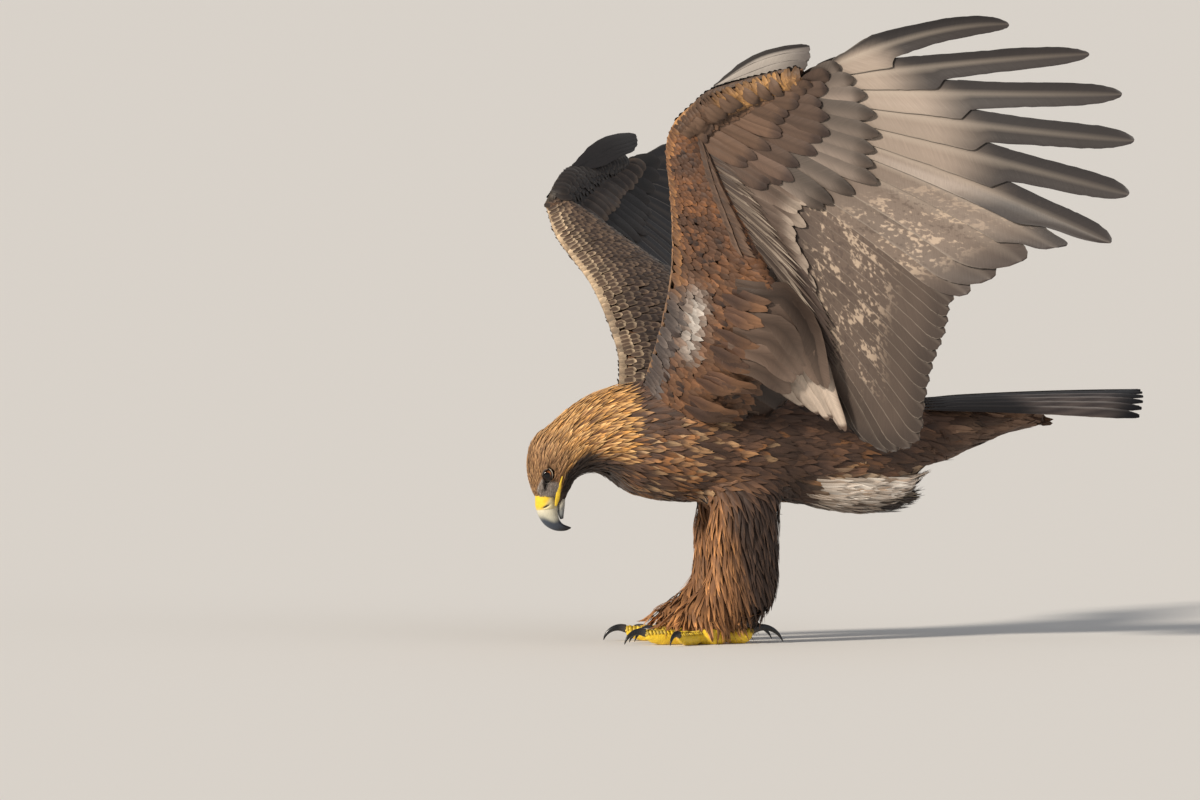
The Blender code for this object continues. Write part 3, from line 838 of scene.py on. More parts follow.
def step_back(points):
    """How far back the leg on each point's side stands."""
    return np.where(points[:, 1] < 0, STEP_BACK[LEFT], STEP_BACK[RIGHT])


def leg_angle(points):
    """Angle of points round their own leg."""
    side = np.where(points[:, 1] < 0, LEFT, RIGHT)
    return np.arctan2(points[:, 1] - side * LEG_SPREAD, points[:, 0] - LEG_AXIS_X - step_back(points))


def chart(zone, points, wrap_to=None):
    """Place of skin points on the unwrap. wrap_to holds angles that theirs stay close to."""
    row, angle, _ = along_body(points)
    if zone in LEG_ZONES:
        angle = leg_angle(points)
    if wrap_to is not None:
        angle = wrap_to + (angle - wrap_to + np.pi) % (2 * np.pi) - np.pi
    turn = np.clip(angle / np.pi, -1.03, 1.03)
    right = points[:, 1] > 0
    if zone in ("head", "neck", "trunk", "rump"):
        return np.stack((0.02 + 0.60 * row / LAST_ROW, 0.31 + 0.28 * turn), -1)
    if zone == "undertail_coverts":
        return np.stack((0.66 + 0.30 * (points[:, 0] - 200) / 190, 0.12 + 0.095 * turn), -1)
    if zone in LEG_ZONES:
        return np.stack((0.66 + 0.32 * points[:, 2] / 215, np.where(right, 0.50, 0.32) + 0.08 * turn), -1)
    if zone in FOOT_ZONES:
        return np.stack((0.02 + 0.16 * (points[:, 0] + 190) / 200 + 0.18 * right,
                         0.64 + 0.16 * (np.abs(points[:, 1]) - 5) / 110), -1)
    across = 0.40 * (points[:, 2] - 180) / 520
    chord = 0.16 * (points[:, 0] + 300) / 420
    return np.stack((0.42 + across, np.where(right, 0.80, 0.62) + chord), -1)


def skin_chart(skin):
    """The unwrap's place for each corner of the skin's triangles."""
    corners = skin.points[skin.triangles]
    middles = corners.mean(1)
    zones = skin.zone(middles)
    places = np.zeros((*skin.triangles.shape, 2))
    for zone in COAT_DEPTHS:
        chosen = zones == zone
        if not chosen.any():
            continue
        _, angle, _ = along_body(middles[chosen])
        if zone in LEG_ZONES:
            angle = leg_angle(middles[chosen])
        for k in range(3):
            places[chosen, k] = chart(zone, corners[chosen, k], angle)
    return places.reshape(-1, 2)


# Colours of the body

HACKLE_ROW = 8.45


def leg_colours(points, chance):
    """Base and tip colours on the legs: rust and gold in front, dark behind, partly as painted sunlight on
    the front and painted shade behind.
    """
    ahead = -(points[:, 0] + 18 - step_back(points))
    # Painted light: the legs' front, towards the key light, is made bright and their rear dark
    front = smooth(-14, 18, ahead + 0.16 * (60 - points[:, 2]))
    lit = front * (0.35 + 0.65 * drift(points, 24.0, 5.0))
    base = mix((0.034, 0.020, 0.015), (0.17, 0.075, 0.030), front)
    tip = mix((0.075, 0.042, 0.027), (0.62, 0.285, 0.100), lit)
    return base, mix(tip, base, 0.7 * (chance < 0.3))


def body_colours(points, zones, rng):
    """Base and tip colours of the plumage at each place, before each feather's own chance."""
    row, angle, _ = along_body(points)
    height = np.cos(angle)
    chance = rng.random(len(points))
    base = mix((0.038, 0.022, 0.017), (0.075, 0.040, 0.026), rng.random(len(points)))
    tip = mix((0.082, 0.046, 0.031), (0.155, 0.078, 0.043), rng.random(len(points)) ** 1.5)

    patches = drift(points, 30.0)
    breast = smooth(5.4, 6.8, row) * (1 - smooth(0.2, 0.55, height))
    flank = smooth(2.2, 4.0, row) * (1 - smooth(0.0, 0.4, height)) * 0.5
    pale = chance < (0.30 * breast + 0.10 * flank) * (0.3 + 1.6 * patches)
    tip = np.where(pale[:, None], mix(RUST, BUFF, rng.random(len(points))), tip)
    rusty = chance > 1 - 0.45 * np.maximum(breast, flank) * patches
    tip = np.where(rusty[:, None], mix(WARM, RUST, rng.random(len(points))), tip)
    tip = tip * (0.58 + 0.55 * drift(points, 42.0, 9.0))[:, None]

    ragged_height = height + 0.1 * np.sin(row * 9)
    hackle = smooth(HACKLE_ROW, HACKLE_ROW + 0.4, row) * smooth(-0.60, -0.48, ragged_height)
    base = mix(base, mix((0.070, 0.030, 0.014), (0.20, 0.085, 0.028), chance), hackle)
    tip = mix(tip, mix((0.74, 0.36, 0.095), (0.80, 0.50, 0.22), chance), hackle)
    crown = smooth(10.4, 11.6, row) * smooth(-0.30, -0.12, height)
    base = mix(base, mix((0.10, 0.050, 0.026), (0.20, 0.105, 0.050), chance), crown)
    tip = mix(tip, mix((0.36, 0.185, 0.080), (0.62, 0.37, 0.17), chance), crown)
    cheek = crown * (1 - smooth(0.10, 0.45, height)) * smooth(11.2, 12.2, row)
    tip = mix(tip, (0.36, 0.175, 0.075), 0.6 * cheek)
    throat = smooth(9.6, 10.8, row) * (1 - smooth(-0.44, -0.30, height))
    under_neck = smooth(8.2, 9.2, row) * (1 - smooth(-0.70, -0.55, height))
    dark = np.maximum(throat, 0.85 * under_neck)
    base = mix(base, (0.020, 0.013, 0.011), dark)
    tip = mix(tip, (0.040, 0.025, 0.019), dark)

    plume = (smooth(48, 75, points[:, 0]) * (1 - smooth(196, 208, points[:, 2]))
             * smooth(-0.999, -0.9, -np.abs(height)))
    plume = plume * smooth(164, 178, points[:, 2]) * (1 - smooth(200, 225, points[:, 0]))
    base = mix(base, (0.30, 0.21, 0.14), 0.8 * plume)
    tip = mix(tip, mix(BUFF, CREAM, chance), 0.85 * plume)

    leg = leg_share(points)
    leg_base, leg_tip = leg_colours(points, chance)
    base = mix(base, leg_base, leg)
    tip = mix(tip, leg_tip, leg)

    under = zones == "undertail_coverts"
    base = np.where(under[:, None], mix(UMBER, BROWN, chance), base)
    tip = np.where(under[:, None], mix((0.085, 0.050, 0.034), (0.21, 0.125, 0.078), chance**1.6), tip)
    return base, tip


LORE_GREY = (0.21, 0.18, 0.16)


def lores(points):
    """1 on the bare grey skin between eye and bill."""
    x, y, z = points.T
    below_eye = 1 - smooth(189, 199, z + 0.35 * (x + 240))
    behind_brow = smooth(-2, 2, x + 254 + 0.26 * (200 - z))
    on_side = smooth(9, 13, np.abs(y))
    before_gape = (1 - smooth(-233, -229, x)) * (x < -215)
    return below_eye * behind_brow * on_side * before_gape


def brow_shadow(points):
    """1 on the painted shadow of the brow, a dark streak that runs from each eye's front towards the bill."""
    along = (195.0 - points[:, 2]) / 9.0
    across = (points[:, 0] + 251.0 - 1.0 * along) / 3.4
    return smooth(0.30, 0.75, np.exp(-(across**2 + along**2))) * (np.abs(points[:, 1]) > 12)


def make_skin(skin):
    rng = np.random.default_rng(3)
    base, tip = body_colours(skin.points, skin.zones, rng)
    tint = mix(base, tip, 0.25) * 0.8
    arms = np.isin(skin.zones, ARM_ZONES)
    tint = np.where(arms[:, None], mix(BROWN, WARM, 0.3 + 0 * skin.points[:, 0]), tint)
    tint = mix(tint, LORE_GREY, lores(skin.points))
    # Painted shadow of the brow, darkening the lores in front of each eye
    tint = mix(tint, (0.02, 0.015, 0.013), brow_shadow(skin.points))
    feet = np.isin(skin.zones, FOOT_ZONES)
    tint = np.where(feet[:, None], YELLOW, tint)
    for side in (LEFT, RIGHT):
        _, _, out, ring = off_eye(skin.points, side)
        tint = mix(tint, (0.035, 0.028, 0.026), (1 - smooth(1.02, 1.22, ring)) * (out > 0))
    face_feet = feet[skin.triangles].all(1)
    materials = [DOWNY_SKIN, TOE_SKIN]
    obj = mesh_object("skin", skin.points, skin.triangles, tint, {"OFBake": skin_chart(skin)}, materials,
                      face_materials=face_feet)
    return place_piece(obj, "body_plumage", *skin.nodes)


# Feathers on the body

ROOT_DEPTH, LOWEST_TIP = 0.6, 1.5
# Droop of a vane's edges, and how much whole feathers differ in brightness
BODY_BEND, COVERT_BEND = 0.16, 0.10
BODY_CHANCE, COVERT_CHANCE = 0.20, 0.12
COVERT_TWIST = 3
# Greatest shift of a vane on its pattern's map, in millimetres
VANE_SHIFT = 500


def outline(share, point):
    """Half width along a vane, as a share of its widest; point runs from round to lance-shaped."""
    rise = 0.35 + 0.65 * smooth(0, 0.4, share)
    fall = np.clip(1 - share ** (7 - 5.0 * point), 0, 1) ** (0.5 + 0.5 * point)
    return np.maximum(rise * fall, 0.06)


def row_shares(rows, point):
    """Shares of the length at a vane's rows, closer together towards a round tip."""
    return 1 - (1 - np.linspace(0, 1, rows + 1)) ** (1.7 - 0.5 * point)


def across_shares(columns):
    return np.linspace(-1, 1, columns + 1)


def vane_tint(share, across, base, tip, tip_from, shaft, edge):
    """Colours of vanes from base to tip, with a darker shaft and maybe paler edges."""
    share, across = np.meshgrid(share, np.abs(across), indexing="ij")
    rim = edge * smooth(0.45, 1.0, across) * smooth(0.1, 0.4, share)
    change = np.maximum(smooth(tip_from, 0.95, share), rim)
    tint = mix(base[:, None, None], tip[:, None, None], change[None])
    dark = shaft * (1 - smooth(0.0, 0.45, across)) * (1 - 0.5 * share)
    return tint * (1 - dark[None, ..., None])


def strew(path, tangent, facing, share, length, half_width, columns, point, places, rng, twist, bend,
          fray=0.0, ragged=0.0):
    """Grids of vanes on their paths, each turned a little by chance, with their sides, faces and maps."""
    side = np.cross(tangent, facing)
    angle = np.radians(rng.normal(0, twist, len(path)))[:, None, None]
    cos, sin = np.cos(angle), np.sin(angle)
    side, facing = side * cos + facing * sin, facing * cos - side * sin
    across = across_shares(columns)
    along = share[None, :, None]
    width = (outline(share, point)[None] * half_width[:, None])[..., None]
    grid = path[:, :, None] + side[:, :, None] * (across * width)[..., None]
    grid = grid - facing[:, :, None] * (bend * across**2 * width)[..., None]
    if fray:
        jag = rng.normal(0, fray, grid.shape[:3]) * across**2 * along
        grid = grid + tangent[:, :, None] * (jag * half_width[:, None, None])[..., None]
    if ragged:
        strands = rng.normal(-0.3 * ragged, ragged, (len(path), 1, columns + 1)) * along**3
        grid = grid + tangent[:, :, None] * (strands * length[:, None, None])[..., None]
    vane = np.empty((*grid.shape[:3], 2))
    vane[..., 0] = across * width
    vane[..., 1] = along * length[:, None, None] + rng.uniform(0, VANE_SHIFT, len(path))[:, None, None]
    bake = np.empty_like(vane)
    bake[..., 0] = places[:, 0][:, None, None] + TUFT_PATCH * 0.5 * across
    bake[..., 1] = places[:, 1][:, None, None] + TUFT_PATCH * (along - 0.5)
    return grid, side, facing, vane, bake


def lay(coat, skin, roots, normals, flow, length, half_width, rows, columns, lift, point, colours,
        places, rng, thick=0.35, fray=0.0, twist=8, hold=1.0, settle=0.65, ragged=0.0):
    """Feathers that start at roots, follow the skin along flow and lift off it towards the tip.

    hold says how far they keep to the skin, from 0 to 1, and settle how much of the lift is there halfway."""
    count = len(roots)
    length = np.broadcast_to(length, count)
    half_width = np.broadcast_to(half_width, count)
    lift = np.broadcast_to(lift, count)[:, None]
    flow = unit(flow - normals * (flow * normals).sum(-1, keepdims=True))
    targets = roots[:, None] + flow[:, None] * length[:, None, None] * np.array((0.5, 1.0))[:, None]
    near, near_normals = skin.nearest(targets)
    near = near * hold + targets * (1 - hold)
    start = (roots - normals * ROOT_DEPTH)[:, None]
    mid = (near[:, 0] + near_normals[:, 0] * lift * settle)[:, None]
    end = (near[:, 1] + near_normals[:, 1] * lift)[:, None]
    end[..., 2] = np.maximum(end[..., 2], LOWEST_TIP)
    share = row_shares(rows, point)
    s = share[None, :, None]
    path = start * (1 - s) * (1 - 2 * s) + mid * 4 * s * (1 - s) + end * s * (2 * s - 1)
    tangent = unit(start * (4 * s - 3) + mid * (4 - 8 * s) + end * (4 * s - 1))
    facing = unit(normals[:, None] * (1 - s) + near_normals[:, 1][:, None] * s)
    facing = unit(facing - tangent * (facing * tangent).sum(-1, keepdims=True))
    grid, _, facing, vane, bake = strew(path, tangent, facing, share, length, half_width, columns, point,
                                        places, rng, twist, BODY_BEND, fray, ragged)
    tint = vane_tint(share, across_shares(columns), *colours)
    tint = tint * np.exp(rng.normal(0, BODY_CHANCE, count))[:, None, None, None]
    coat.add(grid, facing, thick, tint, vane, bake)


def sample(skin, wanted, density, rng):
    """Chance places over the skin's wanted triangles, density to a square millimetre, with their normals."""
    corners = skin.points[skin.triangles]
    first, second = corners[:, 1] - corners[:, 0], corners[:, 2] - corners[:, 0]
    area = np.linalg.norm(np.cross(first, second), axis=-1) / 2
    many = rng.poisson(area * density * wanted[skin.triangles].all(1))
    face = np.repeat(np.arange(len(area)), many)
    a, b = rng.random((2, len(face), 1))
    flip = a + b > 1
    a, b = np.where(flip, 1 - a, a), np.where(flip, 1 - b, b)

    def blend(own):
        return own[:, 0] * (1 - a - b) + own[:, 1] * a + own[:, 2] * b

    return blend(corners[face]), unit(blend(skin.normals[skin.triangles[face]]))


def scatter(points, spacing, rng):
    """Numbers of points that stay about their own spacing apart."""
    tree = kdtree.KDTree(len(points))
    for number, point in enumerate(points.tolist()):
        tree.insert(point, number)
    tree.balance()
    free = np.ones(len(points), bool)
    chosen = []
    for number in rng.permutation(len(points)):
        if not free[number]:
            continue
        chosen.append(number)
        for _, other, _ in tree.find_range(points[number].tolist(), float(spacing[number])):
            free[other] = False
    return np.array(chosen)


# Row on the body line, then spacing, length, half width and lift of its feathers
BODY_FEATHERS = (
    (0.0, 6.6, 46, 6.2, 4.6),
    (2.6, 6.4, 42, 6.0, 4.6),
    (5.0, 6.0, 37, 5.4, 4.6),
    (7.2, 5.5, 33, 4.8, 4.6),
    (8.4, 4.6, 31, 3.2, 4.6),
    (9.6, 3.9, 30, 2.5, 4.2),
    (10.8, 3.1, 21, 1.7, 3.0),
    (11.8, 2.4, 12, 1.1, 1.9),
    (12.8, 1.85, 7.0, 0.75, 1.1),
    (14.0, 1.5, 4.4, 0.55, 0.8),
)
# The same sizes for the feathers on the legs and under the tail
LEG_FEATHER = (4.9, 34, 2.5, 5.5)
UNDERTAIL_FEATHER = (7.0, 52, 7.0, 5.5)
# Chance places tried for each feather that is laid
CANDIDATES = 4.5


def feather_sizes(row):
    """Spacing, length, half width and lift of feathers by their rows on the body line."""
    rows, *sizes = np.array(BODY_FEATHERS).T
    return np.stack([np.interp(row, rows, size) for size in sizes])


def flow_at(points, normals, rng):
    """The way feathers lie: towards the tail, and down and a little back on the legs."""
    _, _, to_tail = along_body(points)
    leg = leg_share(points)[:, None]
    down = np.array((0.16, 0, -1.0))
    flow = unit(to_tail * (1 - leg) + down * leg)
    flow[:, 2] -= 0.10 * (1 - leg[:, 0]) * (points[:, 0] > -150)
    flow = flow + rng.normal(0, 0.09, flow.shape)
    return unit(flow - normals * (flow * normals).sum(-1, keepdims=True))


def clear_of_face(points):
    """False where the eyes, the bare lores and the bill's base leave no room for feathers."""
    free = lores(points) < 0.5
    for side in (LEFT, RIGHT):
        ahead, _, out, ring = off_eye(points, side)
        brow = (near_brow(points, side, 1.1) > 0.35) & (ahead > 2.5)
        off_gape, _ = off_line(points, GAPE_LINE, side, 25)
        free &= ((ring > 1.20) | (out < 0) | brow) & (off_gape > 2.6)
    return free & ((points[:, 2] > 176) | (points[:, 0] > -215))


# How far back the undertail's feathers have their roots
UNDERTAIL_LAST_ROOT = 352


def make_body_plumage(skin):
    rng = np.random.default_rng(11)
    bodied = ~np.isin(skin.zones, FOOT_ZONES + ARM_ZONES)
    row, _, _ = along_body(skin.points)
    close = feather_sizes(row[skin.triangles].mean(1))[0]
    points, normals = sample(skin, bodied, CANDIDATES / close**2, rng)
    free = clear_of_face(points) & (points[:, 0] < UNDERTAIL_LAST_ROOT)
    points, normals = points[free], normals[free]
    zones = skin.zone(points)
    row, _, _ = along_body(points)
    leg, under = leg_share(points), zones == "undertail_coverts"
    sizes = feather_sizes(row) * (1 - leg) + np.outer(LEG_FEATHER, leg)
    sizes = np.where(under, np.array(UNDERTAIL_FEATHER)[:, None], sizes)
    chosen = scatter(points, sizes[0], rng)
    points, normals, zones = points[chosen], normals[chosen], zones[chosen]
    row, legged, under = row[chosen], leg[chosen] > 0.5, under[chosen]
    _, length, half_width, lift = sizes[:, chosen]
    length = length * rng.uniform(0.88, 1.14, len(row))
    lift = lift * rng.uniform(0.7, 1.1, len(row))
    base, tip = body_colours(points, zones, rng)
    flow = flow_at(points, normals, rng)
    places = np.zeros((len(points), 2))
    for zone in np.unique(zones):
        places[zones == zone] = chart(zone, points[zones == zone])
    other = ~legged & ~under
    # Part, its feathers, rows and columns of a vane, point, pale edge, slot, fray and ragged tip
    groups = (
        ("rear", other & (row < 3.6), 6, 6, 0.25, 0.35, "loose", 0.25, 0.12),
        ("trunk", other & (row >= 3.6) & (row < 6.4), 6, 6, 0.3, 0.35, "body", 0.25, 0.12),
        ("breast", other & (row >= 6.4) & (row < 8.2), 6, 6, 0.4, 0.35, "body", 0.22, 0.11),
        ("hackles", other & (row >= 8.2) & (row < 10.6), 6, 4, 0.8, 0.55, "head", 0.1, 0.03),
        ("head", other & (row >= 10.6), 4, 2, 0.75, 0.55, "head", 0.0, 0.02),
        ("undertail", under, 6, 6, 0.3, 0.35, "loose", 0.25, 0.14),
        ("leg_left", legged & (points[:, 1] < 0), 6, 4, 0.8, 0.35, "leg", 0.3, 0.10),
        ("leg_right", legged & (points[:, 1] > 0), 6, 4, 0.8, 0.35, "leg", 0.3, 0.10),
    )
    coats = {}
    for part, chosen, rows, columns, point, edge, _, fray, ragged in groups:
        coats[part] = Coat(f"plumage_{part}")
        lay(coats[part], skin, points[chosen], normals[chosen], flow[chosen], length[chosen],
            half_width[chosen], rows, columns, lift[chosen], point,
            (base[chosen], tip[chosen], 0.5, 0.3, edge), places[chosen], rng, fray=fray, ragged=ragged)
    add_bristles(coats["head"], skin, rng)
    add_chin(coats["head"], skin, rng)
    add_leg_fringe(coats, skin, rng)
    add_plume(coats["undertail"], skin, rng)
    add_plume_end(coats["undertail"], skin, rng)
    for part, *_, slot, _, _ in groups:
        coats[part].finish(BODY_FEATHER, f"{slot}_plumage")


def add_bristles(coat, skin, rng):
    """Fine pale hairs on the lores."""
    bare = (lores(skin.points) > 0.06) & (skin.points[:, 2] > 172)
    points, normals = sample(skin, bare, 1.0, rng)
    count = len(points)
    tone = rng.random(count) ** 2
    # The brow's painted shadow darkens the bristles under it
    dark = brow_shadow(points)
    base = mix(mix((0.16, 0.125, 0.105), (0.26, 0.225, 0.20), tone), (0.02, 0.015, 0.013), dark)
    tip = mix(mix((0.20, 0.16, 0.135), (0.44, 0.40, 0.36), tone), (0.035, 0.025, 0.02), dark)
    flow = np.array((-0.10, 0, -1.0)) + rng.normal(0, 0.15, (count, 3))
    lay(coat, skin, points, normals, flow, rng.uniform(4, 7.0, count), 0.24, 4, 2, 0.8, 0.8,
        (base, tip, 0.3, 0.0, 0.0), chart("head", points), rng, thick=0.16, hold=0.8)


def add_chin(coat, skin, rng):
    """Short dark feathers that cover the lower bill's base."""
    chin = (skin.points[:, 2] < 186) & (skin.points[:, 0] > -230) & (skin.zones == "head")
    points, normals = sample(skin, chin, 0.9, rng)
    count = len(points)
    flow = np.array((-0.05, 0, -1.0)) + rng.normal(0, 0.12, (count, 3))
    length = np.clip(points[:, 2] - rng.uniform(163, 168, count), 4, 14)
    base, tip = np.tile((0.045, 0.030, 0.023), (count, 1)), np.tile((0.085, 0.056, 0.040), (count, 1))
    lay(coat, skin, points, normals, flow, length, 0.7, 4, 2, 1.4, 0.8,
        (base, tip, 0.4, 0.1, 0.0), chart("head", points), rng, thick=0.2, hold=0.0)


FRINGE_COUNT, PLUME_COUNT, PLUME_END_COUNT = 420, 760, 260
PLUME_END = (232.0, 0, 166.0)


def add_leg_fringe(coats, skin, rng):
    """Long loose feathers that hang behind and round the foot."""
    tarsal = np.isin(skin.zones, LEG_ZONES) & (skin.points[:, 2] < 120)
    for side, name in SIDE_NAMES.items():
        own = np.where(tarsal & (skin.points[:, 1] * side > 0))[0]
        chosen = rng.choice(own, FRINGE_COUNT, replace=False)
        points, normals = skin.points[chosen], skin.normals[chosen]
        base, tip = body_colours(points, skin.zones[chosen], rng)
        flow = np.tile((0.12, 0, -1.0), (FRINGE_COUNT, 1))
        flow[:, 0] += 0.30 * rng.random(FRINGE_COUNT) * (points[:, 0] > -25)
        length = np.minimum(rng.uniform(28, 46, FRINGE_COUNT), points[:, 2] * 0.95)
        places = chart("tarsus", points)
        lay(coats[f"leg_{name}"], skin, points, normals, flow, length, rng.uniform(1.6, 3.0, FRINGE_COUNT),
            5, 2, 7.0, 0.9, (base, tip, 0.4, 0.2, 0.2), places, rng, fray=0.2, hold=0.55)


def add_plume(coat, skin, rng):
    """Pale downy feathers of the vent, longer and looser than those round them."""
    x, _, z = skin.points.T
    vent = (x > 62) & (x < 190) & (z < 197) & (leg_share(skin.points) < 0.3)
    own = np.where(np.isin(skin.zones, ("rump", "trunk")) & vent)[0]
    chosen = rng.choice(own, PLUME_COUNT, replace=len(own) < PLUME_COUNT)
    points, normals = skin.points[chosen], skin.normals[chosen]
    # Paler higher up: the plume's own pale colour, brightened nearly to white as painted light on its sunlit
    # top; darker lower down
    colour = mix((0.46, 0.34, 0.25), (0.95, 0.86, 0.76), rng.random(PLUME_COUNT))
    pale = smooth(160, 180, points[:, 2] + rng.normal(0, 5, PLUME_COUNT))
    tip = mix((0.085, 0.058, 0.042), colour, pale)
    flow = np.array((1.0, 0, -0.10)) + rng.normal(0, 0.08, (PLUME_COUNT, 3))
    lay(coat, skin, points, normals, flow, rng.uniform(36, 58, PLUME_COUNT),
        rng.uniform(1.8, 4.4, PLUME_COUNT), 6, 2, 7.5, 0.7, (tip * 0.55, tip, 0.2, 0.15, 0.3),
        chart("rump", points), rng, fray=0.35, hold=0.75)


def add_plume_end(coat, skin, rng):
    """Narrow dark feathers in which the vent's plume runs out."""
    x, _, z = skin.points.T
    own = np.where((x > 128) & (x < 186) & (z > 150) & (z < 186) & (leg_share(skin.points) < 0.1))[0]
    chosen = rng.choice(own, PLUME_END_COUNT, replace=False)
    points, normals = skin.points[chosen], skin.normals[chosen]
    way = np.array(PLUME_END) + rng.normal(0, 1, (PLUME_END_COUNT, 3)) * (6, 9, 6) - points
    pale = smooth(172, 184, points[:, 2])[:, None] * rng.random((PLUME_END_COUNT, 1))
    tip = mix((0.035, 0.024, 0.020), (0.36, 0.29, 0.22), pale[:, 0])
    length = np.clip(np.linalg.norm(way, axis=-1), 30, 74) * rng.uniform(0.7, 1.0, PLUME_END_COUNT)
    half_width = rng.uniform(1.4, 3.2, PLUME_END_COUNT)
    lay(coat, skin, points, normals, way, length, half_width, 6, 2, 5.0, 0.9,
        (tip * 0.7, tip, 0.3, 0.15, 0.3), chart("rump", points), rng, fray=0.3, hold=0.35)


# Wings

FEATHERS = TERTIALS + SECONDARIES + PRIMARIES
FIRST_STATION, LAST_STATION = -INNER_STATIONS, FEATHERS - 1
FIRST_PRIMARY = TERTIALS + SECONDARIES
VANE_COLUMNS = np.array((-1, -0.93, -0.62, -0.30, -0.05, 0.05, 0.36, 0.88, 1))
UNDER, UPPER = -1, 1


def rolled(vectors, side, angle):
    """Vectors of a wing turned down and outwards about the body's length."""
    x, y, z = np.moveaxis(vectors, -1, 0)
    out = side * y
    return np.stack((x, side * (out * math.cos(angle) + z * math.sin(angle)),
                     z * math.cos(angle) - out * math.sin(angle)), -1)


class Wing:
    """Lines of one wing. Stations count its feathers from the body out: 0 is the innermost tertial."""

    def __init__(self, side):
        self.side = side
        mirror = np.array((1, -side, 1))
        inner, tertials = np.linspace(0, 0.14, INNER_STATIONS), np.linspace(0.20, 0.48, TERTIALS)
        shares = np.concatenate((inner, tertials, np.linspace(0.54, 0.98, SECONDARIES)))
        hand_shares = np.linspace(0.04, 0.96, PRIMARIES)

        def near_place(line, share):
            return from_view(spline(line, share)) * mirror

        wrist = from_view(spline(BONE_LINE[side], 1.0))
        near_wrist = near_place(BONE_LINE[LEFT], 1.0)

        def place_on_hand(line, share):
            return wrist + rolled(near_place(line, share) - near_wrist, side, HAND_ROLL[side])

        self.place_on_hand = place_on_hand
        tertial_tips = near_place(TERTIAL_EDGE[::-1], np.linspace(0, 1, TERTIALS))
        secondary_tips = near_place(SECONDARY_EDGE[::-1], np.linspace(0, 1, SECONDARIES))
        near_tips = np.concatenate((tertial_tips[:1].repeat(INNER_STATIONS, 0), tertial_tips, secondary_tips))
        arm_reach = near_tips - near_place(BONE_LINE[LEFT], shares)
        for k in range(INNER_STATIONS):
            arm_reach[k] = arm_reach[INNER_STATIONS] * (0.55 + 0.15 * k)
        hand_reach = from_view(PRIMARY_TIPS) * mirror - near_place(HAND_REAR, hand_shares)
        self.root = np.concatenate((from_view(spline(BONE_LINE[side], shares)),
                                    self.place_on_hand(HAND_REAR, hand_shares)))
        self.tip = self.root + rolled(np.concatenate((arm_reach, hand_reach)), side, FEATHER_ROLL[side])
        front = np.concatenate((from_view(spline(LEADING_EDGE[side], shares)),
                                self.place_on_hand(HAND_FRONT, hand_shares)))
        off_wrist = (np.arange(len(front)) - INNER_STATIONS - WRIST_STATION) / 2.5
        bulge = WRIST_BULGE[side] * np.exp(-off_wrist**2)
        self.front = front + unit(front - self.root) * bulge[:, None]
        self.sag = np.concatenate((np.zeros(len(shares)), PRIMARY_SAG))
        arm_thick = spline(np.array(ARM_HALF_THICKNESS)[:, None], shares)
        hand_thick = spline(np.array(HAND_HALF_THICKNESS)[:, None], hand_shares)
        self.half_thick = np.concatenate((arm_thick, hand_thick))[:, 0]
        first = INNER_STATIONS + TERTIALS
        across = self.tip[first] - self.tip[-5]
        normal = unit(np.cross(across, self.tip[first + 6] - self.root[first + 6]))
        self.normal = normal * math.copysign(1, -side * normal[1])
        self.chord = np.linalg.norm(self.front - self.root, axis=-1)
        self.reach = np.linalg.norm(self.tip - self.root, axis=-1)

    def at(self, values, station):
        values = np.asarray(values, float)
        flat = values.reshape(len(values), -1)
        found = spline(flat, (np.asarray(station, float) - FIRST_STATION) / (LAST_STATION - FIRST_STATION))
        return found if values.ndim > 1 else found[..., 0]

    def middle(self, station, share):
        """Point of the wing's middle sheet: share is -1 at the leading edge, 0 at the bone, 1 at the tips."""
        station, share = np.broadcast_arrays(np.asarray(station, float), np.asarray(share, float))
        root, front, tip = (self.at(line, station) for line in (self.root, self.front, self.tip))
        reach = tip - root
        v = np.clip(share, 0, 1.2)[..., None]
        camber = self.normal * WING_CAMBER * np.linalg.norm(reach, axis=-1, keepdims=True)
        bulge = 4 * v * (1 - v)
        behind = root + reach * v + (camber - UP * self.at(self.sag, station)[..., None]) * bulge
        ahead = root + (front - root) * -np.clip(share, -1, 0)[..., None]
        return np.where((share >= 0)[..., None], behind, ahead)

    def facing(self, station, share):
        """The sheet's own direction towards the wing's upper side."""
        along = self.middle(station, share + 0.06) - self.middle(station, share - 0.06)
        outer, inner = np.minimum(station + 0.4, LAST_STATION), np.maximum(station - 0.4, FIRST_STATION)
        outwards = self.middle(outer, share) - self.middle(inner, share)
        normal = unit(np.cross(along, outwards))
        return normal * np.sign((normal * self.normal).sum(-1, keepdims=True))

    def travel(self, station, share, distance):
        """Share after going distance millimetres from share towards the feathers' tips."""
        chord, reach = self.at(self.chord, station), self.at(self.reach, station)
        place = np.where(share < 0, share * chord, share * reach) + distance
        return np.where(place < 0, place / chord, place / reach)

    def surface(self, station, share, face, lift):
        """Point over one face of the wing, and that face's outward direction."""
        facing = self.facing(station, share)
        lens = np.sqrt(np.clip(1 - (2 * -share - 1) ** 2, 0, 1)) * self.at(self.half_thick, station)
        height = np.where(share < 0, lens, 0) + lift
        return self.middle(station, share) + facing * (face * height)[..., None], facing * face


def wing_chart(wing, station, share):
    """Place on the unwrap for a covert's root, from the skin of the arm below it."""
    return chart("forearm", wing.middle(station, np.minimum(share, 0)))


